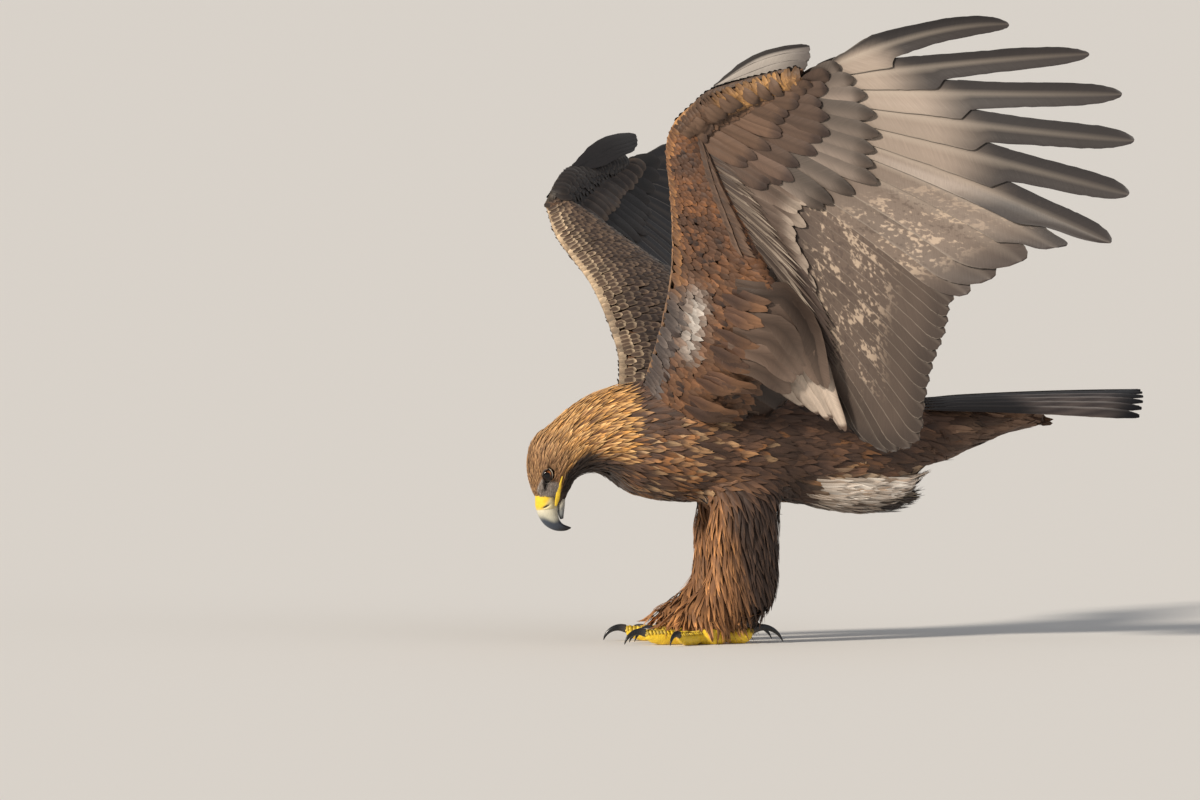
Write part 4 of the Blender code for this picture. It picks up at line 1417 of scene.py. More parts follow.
def covert_row(coat, wing, face, rng, stations, root, length, half_width, lift, colours, rows,
               columns=4, point=0.1, jitter=0.06, base_lift=1.2, fan=0.0, fray=0.05, thick=0.4,
               dark_half=0.0):
    """One row of coverts, each from its own root share along the wing's lines."""
    count = len(stations)
    stations = stations + rng.normal(0, jitter, count)
    root = np.broadcast_to(root, count).astype(float)
    length = np.broadcast_to(length, count) * rng.uniform(0.93, 1.07, count)
    half_width = np.broadcast_to(half_width, count)
    share = row_shares(rows, point)
    distance = share[None] * length[:, None]
    station = np.clip(stations[:, None] + fan * share[None], FIRST_STATION, LAST_STATION)
    place = wing.travel(station, root[:, None] + 0 * distance, distance)
    low = np.broadcast_to(base_lift, count) + rng.uniform(0, 0.5, count)
    rise = low[:, None] + np.broadcast_to(lift, count)[:, None] * smooth(0, 0.7, share)[None]
    rise = rise * (0.12 + 0.88 * smooth(-1.0, -0.72, place))
    path, facing = wing.surface(station, place, face, rise)
    place_vanes(coat, wing, path, facing, length, half_width, wing_chart(wing, stations, root), colours,
                rng, columns, point, fray, thick, dark_half)


def place_vanes(coat, wing, path, facing, length, half_width, places, colours, rng, columns, point,
                fray, thick, dark_half=0.0, bend=COVERT_BEND):
    """Vanes along paths that all have as many rows, with their own length and half width."""
    count = len(path)
    share, across = row_shares(path.shape[1] - 1, point), across_shares(columns)
    tangent = unit(np.gradient(path, axis=1))
    facing = unit(facing - tangent * (facing * tangent).sum(-1, keepdims=True))
    grid, side, facing, vane, bake = strew(path, tangent, facing, share, length, half_width, columns, point,
                                           places, rng, COVERT_TWIST, bend, fray)
    base, tip, *rest = colours
    base, tip = np.broadcast_to(base, (count, 3)), np.broadcast_to(tip, (count, 3))
    tint = vane_tint(share, across, base, tip, *rest)
    tint = tint * np.exp(rng.normal(0, COVERT_CHANCE, count))[:, None, None, None]
    forward = np.sign((side[:, 0] * (wing.tip[-1] - wing.tip[0])).sum(-1))[:, None, None, None]
    tint = tint * (1 - dark_half * smooth(0.05, 0.35, across[:, None] * forward))
    ridge = 0.7 * np.exp(-(across / 0.12) ** 2) * (1 - 0.7 * share)[:, None]
    coat.add(grid, facing, thick + ridge[None, ..., None], tint, vane, bake)


EDGE_LENGTH, EDGE_BEND = 14.0, 0.75


def edge_row(coat, wing, rng):
    """Small feathers that lie along the wing's leading edge and close over it."""
    at = stations_along(-2.9, 28.3, 3.4, wing, -1.0, 0)
    step = np.interp(np.arange(len(at)) + 4.0, np.arange(len(at)), at) - at
    at, step = at[:-5], step[:-5]
    count = len(at)
    share = row_shares(4, 0.3)
    station = at[:, None] + step[:, None] * share[None]
    front = wing.at(wing.front, station)
    facing = unit(front - wing.at(wing.root, station))
    path = front + facing * (rng.uniform(-4.0, -3.4, count)[:, None] + 1.4 * share[None])[..., None]
    half_width = np.clip(0.72 * wing.at(wing.half_thick, at), 3.6, 7.5)
    hand = smooth(19.0, 22.0, at) if wing.side == LEFT else smooth(16.0, 18.5, at)
    low = 1 - smooth(1.5, 4.5, at)
    chance = rng.random(count)
    if wing.side == LEFT:
        tip = mix((0.34, 0.165, 0.065), (0.54, 0.28, 0.11), chance)
        dark = (0.085, 0.055, 0.040)
    else:
        tip = mix((0.36, 0.25, 0.155), (0.66, 0.50, 0.33), chance)
        # The far wing's hand edge is near black: its own dark deepened as painted shade, as that wing faces
        # away from the key light
        dark = (0.022, 0.017, 0.015)
    tip = mix(mix(tip, dark, 0.95 * hand), (0.10, 0.075, 0.060), 0.5 * low)
    place_vanes(coat, wing, path, facing, np.full(count, EDGE_LENGTH), half_width,
                wing_chart(wing, at, np.full(count, -1.0)), (tip * 0.45, tip, 0.4, 0.2, 0.4), rng, 6, 0.3,
                0.15, 0.4, bend=EDGE_BEND)


# Flight feathers

FLIGHT_ROWS = 40
QUILL_BARE = 0.03
TIP_ROUND = 30


def flight_slots():
    return np.array([0.86] * TERTIALS + [0.96] * SECONDARIES + list(PRIMARY_SLOTS))


def feather_line(wing, feather, share):
    """Middle line of one flight feather."""
    return wing.middle(np.full(len(share), float(feather)), share)


def half_gap(wing, feather, step, share):
    """Half of the way to the next feather outward (step 1) or inward (step -1)."""
    own = feather_line(wing, feather, share)
    other = feather + step
    if 0 <= other < len(wing.root) - INNER_STATIONS:
        return (feather_line(wing, other, share) - own) / 2
    way = own - feather_line(wing, feather - step, share)
    size = np.linalg.norm(way, axis=-1, keepdims=True)
    return way / size * np.maximum(size / 2, OUTER_VANE)


def vane_reach(wing, feather, step, share, slots):
    """Way from the shaft to the feather's edge on one side, with its notch and its rounded tip."""
    line = feather if step > 0 else feather - 1
    parting = slots[min(max(line, 0), len(slots) - 1)]
    if feather >= FIRST_PRIMARY + 3:
        before = half_gap(wing, feather, step, np.minimum(share, parting))
        beyond = np.clip((share - parting) / (1 - parting), 0, 1)
        narrow = np.sqrt(np.clip(1 - beyond ** (3.2 if step < 0 else 8), 0, 1))
        narrow = narrow * (1 - 0.15 * np.minimum(3 * beyond, 1))
        palm = 1.7 if step < 0 else 1.0
        width = (palm + (1 - palm) * smooth(parting - 0.035, parting + 0.004, share)) * narrow
        least = 0.12
    else:
        before = half_gap(wing, feather, step, np.minimum(share, 0.94))
        round_start = 1 - TIP_ROUND / wing.reach[feather + INNER_STATIONS]
        if feather >= FIRST_PRIMARY:
            round_start = 0.84
        rounding = np.clip((share - round_start) / (1 - round_start), 0, 1)
        width = (2.3 if step < 0 else 1.35) * np.sqrt(np.clip(1 - rounding ** 2.3, 0, 1))
        least = 0.035
    bare = 0.06 + 0.94 * smooth(QUILL_BARE, 0.16, share)
    return before * (np.maximum(width, least) * bare)[:, None]


VANE_THICK, SHAFT_THICK = 0.45, 1.3
BARB_STEP, BARB_CHANCE = 0.48, 0.25
# Rise of a vane's front edge and fall of its rear edge, so that each lies over the next
SHINGLE = (0.9, 1.9)


def add_vane(coat, upward, middle, lead, trail, strip, share, upper, under, rng, shingle=SHINGLE, rise=0.0,
             offset=0):
    """One flight feather from its middle line and the ways to its two edges."""
    u = VANE_COLUMNS
    front, rear, rim = np.where(u > 0, u, 0), np.where(u < 0, -u, 0), np.abs(u) > 0.9
    side = front[None, :, None] * lead[:, None] + rear[None, :, None] * trail[:, None]
    tangent = unit(np.gradient(middle, axis=0))
    facing = unit(np.cross(tangent, lead - trail))
    facing = facing * np.sign((facing * upward).sum(-1, keepdims=True))
    width = np.linalg.norm(side, axis=-1)
    height = shingle[0] * front - shingle[1] * rear
    height = height[None] * smooth(0.02, 0.2, share)[:, None] - 0.0016 * width**2 + rise
    barbs = BARB_STEP * rim * np.where(np.arange(len(share)) % 2, 1, -1)[:, None]
    grid = middle[:, None] + side + facing[:, None] * height[..., None] + tangent[:, None] * barbs[..., None]
    grid = grid + unit(side + 1e-9) * (rng.normal(0, BARB_CHANCE, width.shape) * rim)[..., None]
    ridge = np.exp(-(u / 0.08) ** 2)[None] * (1.05 - share)[:, None]
    depth = VANE_THICK + SHAFT_THICK * ridge
    along = np.concatenate(((0,), np.cumsum(np.linalg.norm(np.diff(middle, axis=0), axis=-1))))
    vane = np.empty((*grid.shape[:2], 2))
    vane[..., 0] = np.sign(u) * width
    vane[..., 1] = along[:, None] + offset
    left, low, wide, tall = strip
    bake = np.empty_like(vane)
    bake[..., 0] = left + wide * (0.5 + 0.5 * u)
    bake[..., 1] = low + tall * share[:, None]
    beneath = bake - np.array((0, 0.5))
    coat.add(grid[None], facing[None], depth[None, ..., None], upper[None], vane[None], bake[None],
             under_tint=under[None], under_bake=beneath[None])


def primary_under(primary, start, s, u, one):
    """Underside of a primary whose finger starts at a share, its pale rim, and where it is flecked."""
    palm = mix((0.155, 0.118, 0.095), (0.310, 0.250, 0.205), smooth(1, 8, primary))
    dark = mix((0.058, 0.044, 0.038), (0.028, 0.023, 0.022), smooth(1, 5, primary))
    finger = smooth(start - 0.12, start + 0.07, s + 0.03 * u) * one
    if primary <= 3:
        finger = smooth(0.80, 0.99, s) * one
    under = mix(palm, dark, finger)
    if primary > 2:
        # Painted shade: the outer web, turned away from the light, is near black
        leading = smooth(0.05, 0.70, u) * smooth(start - 0.22, start + 0.06, s)
        under = mix(under, (0.022, 0.019, 0.020), 0.85 * leading)
        under = mix(under, (0.032, 0.027, 0.027), 0.6 * smooth(0.75, 0.97, -u) * finger)
    if primary == PRIMARIES - 1:
        # The outermost primary's outer web, painted black as shade
        under = mix(under, BLACK, 0.9 * smooth(0.3, 0.5, u) * one)
    mask = one * smooth(0.48, 0.60, s) * (1 - smooth(0.80, 0.92, s)) * (1 - smooth(1.5, 4.2, primary))
    return under, 0.6 * (1 - finger), mask


def arm_under(feather, s, one):
    """Underside of a tertial or secondary, its pale rim, and where it is flecked."""
    under = mix((0.038, 0.027, 0.023), (0.115, 0.084, 0.067), smooth(0.22, 0.50, s) * one)
    under = mix(under, (0.082, 0.060, 0.048), smooth(0.55, 0.85, s) * one)
    under = mix(under, (0.042, 0.031, 0.026), 0.85 * smooth(0.86, 0.98, s) * one)
    if feather < TERTIALS + 2:
        under = under * 0.8
    mask = one * smooth(0.34, 0.44, s) * (1 - smooth(0.66, 0.82, s)) * smooth(5, 9, feather)
    return under, 0.5 * smooth(0.3, 0.7, s), mask


def flight_tints(feather, share, slots, rng):
    """Upper and under colours of one flight feather, with how far its underside is flecked as alpha."""
    u = VANE_COLUMNS[None]
    s = share[:, None]
    edge = (np.abs(u) > 0.97) * 1.0
    one = np.ones((len(share), len(VANE_COLUMNS)))
    primary = feather - FIRST_PRIMARY
    # The upper side is near black: its own dark colour deepened as painted shade, since the far wing's upper
    # side faces away from the key light
    upper = mix(SLATE, BLACK, 0.5 + 0.5 * smooth(0.3, 0.8, s) * one)
    upper = mix(upper, (0.16, 0.13, 0.11), 0.5 * edge * one * (primary < 3))
    if primary >= 0:
        start = slots[min(feather, len(slots) - 1)] if primary > 3 else 0.78
        under, rim, mask = primary_under(primary, start, s, u, one)
    else:
        under, rim, mask = arm_under(feather, s, one)
    under = mix(under, (0.52, 0.44, 0.36), 0.9 * rim * edge * one)
    shadow = (0.22 + 0.30 * (primary < 0)) * smooth(0.2, 0.8, u) * (s < 0.95)
    under = under * (1 - shadow[..., None]) * rng.uniform(0.92, 1.08)
    shaft = (np.abs(u) < 0.06) * one
    under = mix(under, (0.42, 0.36, 0.30), 0.5 * shaft * (1 - 0.85 * s))
    upper = mix(upper, (0.07, 0.055, 0.045), 0.8 * shaft)
    upper = mix(upper, under, 0.6 * edge * one)
    alpha = np.clip(mask, 0, 1)[..., None]
    return np.concatenate((upper, 0 * alpha), -1), np.concatenate((under, alpha), -1)


def make_flight_feathers(wing, name):
    rng = np.random.default_rng(21)
    slots = flight_slots()
    share = row_shares(FLIGHT_ROWS, 0.6)
    first = 0
    for group, count in (("tertials", TERTIALS), ("secondaries", SECONDARIES), ("primaries", PRIMARIES)):
        coat = Coat(f"{group}_vanes_{name}")
        for feather in range(first, first + count):
            partings = slots[[min(feather, len(slots) - 1), max(feather - 1, 0)]]
            own = np.unique(np.concatenate((share, partings - 0.03, partings)))
            own = np.interp(np.linspace(0, 1, FLIGHT_ROWS + 5), np.linspace(0, 1, len(own)), own)
            middle = feather_line(wing, feather, own)
            lead = vane_reach(wing, feather, 1, own, slots)
            trail = vane_reach(wing, feather, -1, own, slots)
            upper, under = flight_tints(feather, own, slots, rng)
            strip = (0.02 + 0.96 * feather / FEATHERS, 0.52, 0.028, 0.46)
            add_vane(coat, wing.normal, middle, lead, trail, strip, own, upper, under, rng,
                     offset=300.0 * feather)
        coat.finish(FLIGHT_FEATHER, "flight_feathers", f"{group}_{name}")
        first += count


# Share of the thumb line that each of its feathers reaches, and how far it lies behind that line
ALULA_SPREAD = {LEFT: ((1.0, -6), (0.97, 3), (0.90, 12), (0.80, 21), (0.66, 29)),
                RIGHT: ((1.0, -4), (0.97, 1), (0.92, 6), (0.84, 11))}
ALULA_WIDTH = 12


def make_alula(wing, name):
    """The thumb's short stiff feathers, one over the other."""
    rng = np.random.default_rng(23)
    coat = Coat(f"alula_vanes_{name}")
    share = row_shares(20, 0.3)
    rear = wing.place_on_hand(HAND_REAR, 0.5)
    one = np.ones((len(share), len(VANE_COLUMNS)))
    zero = 0 * one[..., None]
    u = VANE_COLUMNS[None]
    for k, (reach, back) in enumerate(ALULA_SPREAD[wing.side]):
        middle = wing.place_on_hand(ALULA, reach * share)
        tangent = unit(np.gradient(middle, axis=0))
        lead_way = unit(np.cross(wing.normal, tangent))
        lead_way = lead_way * np.sign((lead_way * (middle - rear)).sum(-1, keepdims=True))
        middle = middle - lead_way * (back * smooth(-0.1, 0.5, share))[:, None]
        middle = middle + wing.normal * (5.0 - 0.9 * k)
        width = outline(share, 0.12) * ALULA_WIDTH
        lead = lead_way * (width * 0.62)[:, None]
        trail = -lead_way * (width * (1.25 if wing.side == LEFT else 0.8))[:, None]
        under = mix((0.40, 0.36, 0.325), (0.13, 0.115, 0.11), smooth(0.55, 1.0, share)[:, None] * one)
        if k == 0:
            under = mix(under, BLACK, 0.95 * smooth(0.0, 0.2, u) * one)
        # Near black above: its own dark colour deepened as painted shade
        upper = mix(SLATE, BLACK, 0.8 * one)
        strip = (0.03 + 0.19 * k, 0.52, 0.16, 0.44)
        add_vane(coat, wing.normal, middle, lead, trail, strip, share, np.concatenate((upper, zero), -1),
                 np.concatenate((under, zero), -1), rng, shingle=(0.3, 0.8), offset=100.0 * k)
    coat.finish(FLIGHT_FEATHER, "flight_feathers", f"alula_{name}")


def stations_along(first, last, spacing, wing, share, offset):
    """Stations from first to last, about spacing millimetres apart at a share."""
    fine = np.linspace(first, last, 200)
    line = wing.middle(fine, share)
    run = np.concatenate(((0,), np.cumsum(np.linalg.norm(np.diff(line, axis=0), axis=-1))))
    count = max(int(run[-1] / spacing), 2)
    return np.interp((np.arange(count) + offset) / count * run[-1], run, fine)


def reach_at(wing, at, shares):
    """Lengths at stations, from pairs of a station and its share of the flight feathers' reach."""
    return np.interp(at, *np.array(shares).T) * wing.at(wing.reach, at)


PRIMARY_COVERTS = ((19.4, 0.47), (21.4, 0.49), (22.5, 0.45), (24.3, 0.34), (26.1, 0.27), (27.4, 0.21),
                   (29, 0.16))
# First and last station, count, root, reach by station, what is added to it, half width, lift, colours
UNDER_FANS = (
    # Greater coverts of the secondaries, mostly under the next rows
    (3.5, 18.6, 20, 0.0, ((3, 0.48), (9, 0.40), (14, 0.34), (18, 0.42), (20, 0.46)), 0, 12.0, 3.6,
     ((0.115, 0.080, 0.062), (0.33, 0.265, 0.215), 0.78, 0.4, 0.30), {"rows": 12, "base_lift": 1.5}),
    # Median coverts, darker and browner
    (16.8, 28.4, 12, -0.25, ((16, 0.25), (20.3, 0.34), (21.5, 0.32), (24.5, 0.21), (28.5, 0.09)), 8,
     13.0, 6.0, ((0.100, 0.064, 0.047), (0.042, 0.027, 0.022), 0.82, 0.35, 0.25),
     {"rows": 10, "base_lift": 2.6, "jitter": 0.16, "fray": 0.04}),
    (18.4, 28.6, 12, -0.55, ((18, 0.19), (21, 0.20), (24.5, 0.11), (28.5, 0.03)), 20, 10.5, 7.0,
     ((0.120, 0.072, 0.048), (0.050, 0.031, 0.024), 0.8, 0.35, 0.3),
     {"rows": 8, "base_lift": 3.2, "jitter": 0.2}),
)
# The greater coverts' colours are deepened nearly to black as painted shade: the far wing's upper side faces
# away from the key light
# First and last station, count, root, length by station, half width, lift and colours
UPPER_FANS = (
    (19.6, 28.9, 11, 0.0, ((19, 120), (29, 62)), 12.0, 2.0,
     ((0.018, 0.015, 0.014), (0.030, 0.023, 0.020), 0.7, 0.2, 0.5), {"rows": 12, "thick": 0.6}),
    (-1.0, 19.2, 26, 0.0, ((-1, 90), (5, 112), (19, 104)), 12.5, 2.0,
     ((0.032, 0.023, 0.020), (0.060, 0.043, 0.034), 0.75, 0.2, 0.6), {"rows": 12, "thick": 0.6}),
    (-2.0, 28.6, 44, -0.22, ((-2, 66), (19, 60), (29, 38)), 10.5, 4.0,
     ((0.040, 0.028, 0.023), (0.12, 0.080, 0.055), 0.80, 0.2, 0.65),
     {"rows": 8, "base_lift": 1.8, "thick": 0.5}),
)


def make_under_coverts(wing, name):
    """Coverts of the wing's underside: rust-brown on the arm, grey-brown fans behind it."""
    rng = np.random.default_rng(31)
    coat = Coat(f"under_coverts_{name}")
    row = functools.partial(covert_row, coat, wing, UNDER, rng)
    add_under_fans(row, wing, rng)
    add_arm_rear(row, rng)
    add_arm_coverts(row, wing, rng)
    add_knuckle(row, wing, rng)
    add_armpit(row, rng)
    edge_row(coat, wing, rng)
    coat.finish(COVERT_FEATHER, "wing_coverts")


def add_under_fans(row, wing, rng):
    """Greater and median coverts. Those of the primaries are pale grey with dark tips."""
    at = np.linspace(19.0, 28.9, 11)
    grey = 0.85 + 0.4 * rng.random((len(at), 1))
    half_width = np.interp(at, (19, 24, 29), (15.5, 14.5, 12))
    row(at, 0.0, reach_at(wing, at, PRIMARY_COVERTS), half_width, 4.6,
        (0.185 * np.array((1, 0.80, 0.67)) * grey, (0.070, 0.052, 0.042), 0.80, 0.45, 0.12),
        rows=12, columns=8, base_lift=1.6, thick=0.6, fray=0.03, dark_half=0.45)
    for first, last, count, root, shares, more, half_width, lift, colours, rest in UNDER_FANS:
        at = np.linspace(first, last, count)
        row(at, root, reach_at(wing, at, shares) + more, half_width, lift, colours, columns=6, thick=0.6,
            **rest)
    at = np.linspace(18.8, 27.6, 11)
    row(at, -0.75, np.interp(at, (18, 28), (42, 24)), 8.0, 6.5,
        ((0.130, 0.077, 0.049), (0.065, 0.040, 0.029), 0.75, 0.3, 0.35),
        rows=7, columns=6, base_lift=4.6, thick=0.5, jitter=0.25, fray=0.08)


def add_arm_rear(row, rng):
    """Down along the forearm's rear edge, dark narrow feathers inside it, and long ones edging the arm."""
    at = np.linspace(5.0, 17.5, 84)
    length = np.interp(at, (5, 9, 13, 17, 19), (112, 118, 84, 44, 34)) * rng.uniform(0.75, 1.1, len(at))
    pale = rng.random(len(at)) ** 2.2 * smooth(17, 14, at)
    base = mix((0.050, 0.034, 0.027), (0.20, 0.155, 0.12), pale)
    tip = mix((0.085, 0.058, 0.044), (0.42, 0.35, 0.28), pale)
    row(at, 0.0, length, 2.4, 5.4, (base, tip, 0.4, 0.2, 0.4), rows=9, point=0.9, jitter=0.3,
        base_lift=3.4, fray=0.5)
    at = np.linspace(3.6, 10.5, 16)
    row(at, -0.05, np.interp(at, (3, 7, 11), (150, 176, 120)), 6.0, 3.6,
        ((0.040, 0.027, 0.022), (0.075, 0.052, 0.042), 0.7, 0.2, 0.6),
        rows=12, point=0.6, base_lift=2.2, fray=0.1)
    for root, fan, wide in ((-0.10, -2.6, 4.6), (-0.16, -2.2, 4.2)):
        row(np.linspace(8.0, 19.2, 27), root, 9.0, wide, 4.2,
            ((0.070, 0.042, 0.029), (0.175, 0.110, 0.075), 0.5, 0.2, 0.55),
            rows=9, point=0.9, base_lift=2.6, fray=0.12, fan=fan, jitter=0.2)


def add_arm_coverts(row, wing, rng):
    """Small rust-brown coverts of the arm, in rows from the leading edge back."""
    for k, root in enumerate(np.arange(-0.955, -0.02, 0.056)):
        at = stations_along(-2.8, 19.4, 6.6, wing, root, 0.5 * (k % 2))
        count = len(at)
        rim = np.exp(-((root + 0.99) / 0.05) ** 2)
        low = 1 - smooth(1, 7, at)
        chance = 0.45 * rng.random(count) + 0.65 * drift(wing.middle(at, root), 26, 3.0)
        base = mix((0.045, 0.024, 0.016), (0.115, 0.052, 0.026), chance)
        tip = mix((0.080, 0.042, 0.026), (0.25, 0.105, 0.040), smooth(0.25, 0.95, chance))
        tip = mix(tip, (0.15, 0.085, 0.050), 0.5 * low)
        base, tip = mix(base, (0.20, 0.095, 0.038), 0.8 * rim), mix(tip, (0.42, 0.205, 0.075), 0.85 * rim)
        pale = np.exp(-((root + 0.75 + 0.01 * at) / 0.085) ** 2)
        pale = pale * (1 - smooth(1.6, 3.2, at)) * smooth(-1.0, 0.6, at)
        base, tip = mix(base, (0.24, 0.215, 0.195), pale), mix(tip, (0.50, 0.46, 0.42), pale)
        slate = np.exp(-((root + 0.93) / 0.06) ** 2) * (1 - smooth(1.2, 2.8, at))
        base, tip = mix(base, (0.045, 0.043, 0.045), slate), mix(tip, (0.11, 0.105, 0.105), slate)
        tip = mix(tip, (0.035, 0.022, 0.018), (rng.random(count) > 0.90) * (1 - pale) * (1 - rim))
        size = 0.76 + 0.3 * (root + 1) + 0.6 * low
        row(at + rng.normal(0, 0.12, count), root + rng.normal(0, 0.012, count),
            18 * size * rng.uniform(0.85, 1.2, count), 4.3 * size, 2.6 + 1.5 * low,
            (base, tip, 0.45, 0.3, 0.4), rows=4, point=0.35, base_lift=1.0, fray=0.25)


def add_knuckle(row, wing, rng):
    """The hand's small coverts, with the tan patch on the knuckle."""
    for k, root in enumerate(np.arange(-0.90, 0.0, 0.11)):
        at = stations_along(19.4, 28.8, 5.4, wing, root, 0.5 * (k % 2))
        knuckle = smooth(23.0, 24.8, at + rng.normal(0, 0.3, len(at))) * (1 - smooth(28.0, 28.9, at))
        knuckle = knuckle * smooth(-0.95, -0.7, root + 0.05 * (at - 24)) * (1 - smooth(-0.25, 0.0, root))
        tip = mix((0.135, 0.075, 0.045), (0.62, 0.33, 0.12), knuckle * rng.uniform(0.35, 1, len(at)))
        row(at, root, 14.0, 4.0, 3.0, (tip * 0.5, tip, 0.4, 0.2, 0.3), rows=5, point=0.5, jitter=0.1,
            base_lift=2.2 + 4.4 * (root + 1), fray=0.25)


def add_armpit(row, rng):
    """Long axillaries from cream to brown, over the innermost flight feathers."""
    at = np.array((0.1, 0.75, 1.4, 2.05, 2.7, 3.3))
    row(at, 0.26, np.interp(at, (0, 1.5, 3.2), (74, 104, 142)), 12.5, 10.0,
        ((0.50, 0.41, 0.335), (0.115, 0.076, 0.056), 0.93, 0.25, 0.75),
        rows=14, columns=6, base_lift=7.0, jitter=0.05, fan=0.4, thick=0.6)
    at = np.array((0.2, 0.85, 1.5, 2.15, 2.75, 3.3, 3.8))
    tone = rng.random((len(at), 1))
    base, tip = (0.080, 0.052, 0.038) * (0.8 + 0.6 * tone), (0.155, 0.108, 0.082) * (0.8 + 0.5 * tone)
    row(at, -0.26, np.interp(at, (0, 2, 3.2, 4.5), (88, 112, 172, 190)), 13.5, 14.0,
        (base, tip, 0.5, 0.35, 0.5),
        rows=12, columns=6, base_lift=9.0, jitter=0.08, fan=0.3, thick=0.6, fray=0.08)
    at = np.linspace(-2.6, 3.4, 20)
    tone = rng.random(len(at))
    base = mix((0.045, 0.025, 0.018), (0.10, 0.050, 0.030), tone)
    tip = mix((0.085, 0.048, 0.032), (0.25, 0.125, 0.062), tone)
    row(at, -0.42 + 0.12 * rng.random(len(at)), 46, 8.0, 8.0, (base, tip, 0.5, 0.3, 0.4),
        rows=8, columns=6, base_lift=6.0, thick=0.5, jitter=0.2, fray=0.2)


def make_upper_coverts(wing, name):
    """Coverts of the wing's upper side: dark, partly as painted shade, with paler rims that scallop the arm.
    """
    rng = np.random.default_rng(37)
    coat = Coat(f"upper_coverts_{name}")
    row = functools.partial(covert_row, coat, wing, UPPER, rng)
    for first, last, count, root, lengths, half_width, lift, colours, rest in UPPER_FANS:
        at = np.linspace(first, last, count)
        row(at, root, np.interp(at, *np.array(lengths).T), half_width, lift, colours, columns=6, **rest)
    for k, root in enumerate(np.arange(-0.955, -0.10, 0.066)):
        at = stations_along(-2.8, 19.4, 6.8, wing, root, 0.5 * (k % 2))
        rim = np.exp(-((root + 0.99) / 0.13) ** 2) * (1 - smooth(15.5, 18.5, at))
        chance = rng.random(len(at)) * (0.4 + 0.6 * drift(wing.middle(at, root), 30, 7.0))
        base = mix((0.028, 0.019, 0.016), (0.050, 0.031, 0.024), chance)
        base = mix(base, (0.20, 0.125, 0.075), 0.3 * rim)
        tip = mix((0.095, 0.062, 0.043), (0.36, 0.24, 0.155), chance)
        tip = mix(tip, (0.78, 0.60, 0.40), rim * rng.uniform(0.4, 0.95, len(at)))
        row(at + rng.normal(0, 0.1, len(at)), root, 11.5 + 42 * min(root + 0.955, 0.25), 4.1, 2.6,
            (base, tip, 0.80, 0.1, 0.45), rows=4, base_lift=1.0, fray=0.12)
    # The hand's small coverts, near black: their own dark colour deepened as painted shade
    for k, root in enumerate((-0.96, -0.80, -0.62, -0.45, -0.28)):
        at = stations_along(19.6, 28.8, 9.0, wing, root, 0.5 * (k % 2))
        row(at, root, 20.0, 6.0, 2.4, ((0.020, 0.016, 0.015), (0.055, 0.040, 0.032), 0.8, 0.1, 0.5),
            rows=5, fray=0.08)
    # Scapulars, which close the wing to the back
    for k, (root, length) in enumerate(((0.1, 100), (-0.2, 84), (-0.5, 70))):
        row(np.linspace(-3, 1.2, 7), root, length, 15.0, 5.0,
            ((0.055, 0.036, 0.028), (0.13, 0.085, 0.058), 0.75, 0.2, 0.5),
            rows=8, columns=6, base_lift=3.0 + 1.5 * k, thick=0.5)
    coat.finish(COVERT_FEATHER, "wing_coverts")


# The tail

TAIL_CAMBER = 0.008
# Widths of the outer and inner vane, as a share of the way to the next feather
TAIL_VANES = (0.44, 0.95)


def tail_line(i, share):
    """Middle line of one tail feather."""
    spread = 2 * i / (TAIL_FEATHERS - 1) - 1
    droop = min(spread * spread, 1.3)
    root = np.array((TAIL_ROOT_X, spread * TAIL_ROOT_HALF_WIDTH, TAIL_ROOT_Z - TAIL_ROOT_DROOP * droop))
    tip_x = TAIL_TIP_X + (TAIL_EDGE_TIP_X - TAIL_TIP_X) * droop
    tip = np.array((tip_x, spread * TAIL_TIP_HALF_WIDTH, TAIL_TIP_Z - TAIL_TIP_DROOP * droop))
    bulge = TAIL_CAMBER * np.linalg.norm(tip - root) * 4 * share * (1 - share)
    return root + (tip - root) * share[:, None] + UP * bulge[:, None]


def tail_tints(i, rank, share):
    """Upper and under colours of one tail feather, which is rank feathers from the middle."""
    u = VANE_COLUMNS[None]
    s = share[:, None]
    one = np.ones((len(share), len(VANE_COLUMNS)))
    band = 0.5 + 0.5 * np.sin(s * 34 + 3 * u + i)
    rim = (np.abs(u) > 0.9) * one
    # Painted light on the upper side: where low is high the outer feathers are painted sunlit, with bars and
    # pale lit rims; the rest is painted near black as the raised wing's cast shadow, which deepens the
    # feathers' own dark tips
    low = smooth(1.0, 3.5, rank) * smooth(0.22, 0.40, s - 0.04 * rank) * (1 - smooth(0.80, 0.97, s))
    upper = mix((0.030, 0.024, 0.022), BLACK, smooth(0.45, 0.8, s) * one)
    upper = mix(upper, mix((0.25, 0.185, 0.150), (0.12, 0.088, 0.075), band), low * one)
    upper = mix(upper, (0.62, 0.52, 0.44), 0.85 * rim * low)
    upper = mix(upper, (0.14, 0.11, 0.09), 0.4 * rim * (1 - low))
    under = mix((0.27, 0.215, 0.175), (0.15, 0.118, 0.10), band * one)
    under = mix(under, (0.030, 0.025, 0.024), smooth(0.56, 0.80, s) * one)
    under = mix(under, (0.34, 0.28, 0.23), 0.6 * rim)
    zero = 0 * one[..., None]
    return np.concatenate((upper, zero), -1), np.concatenate((under, zero + 0.5), -1)


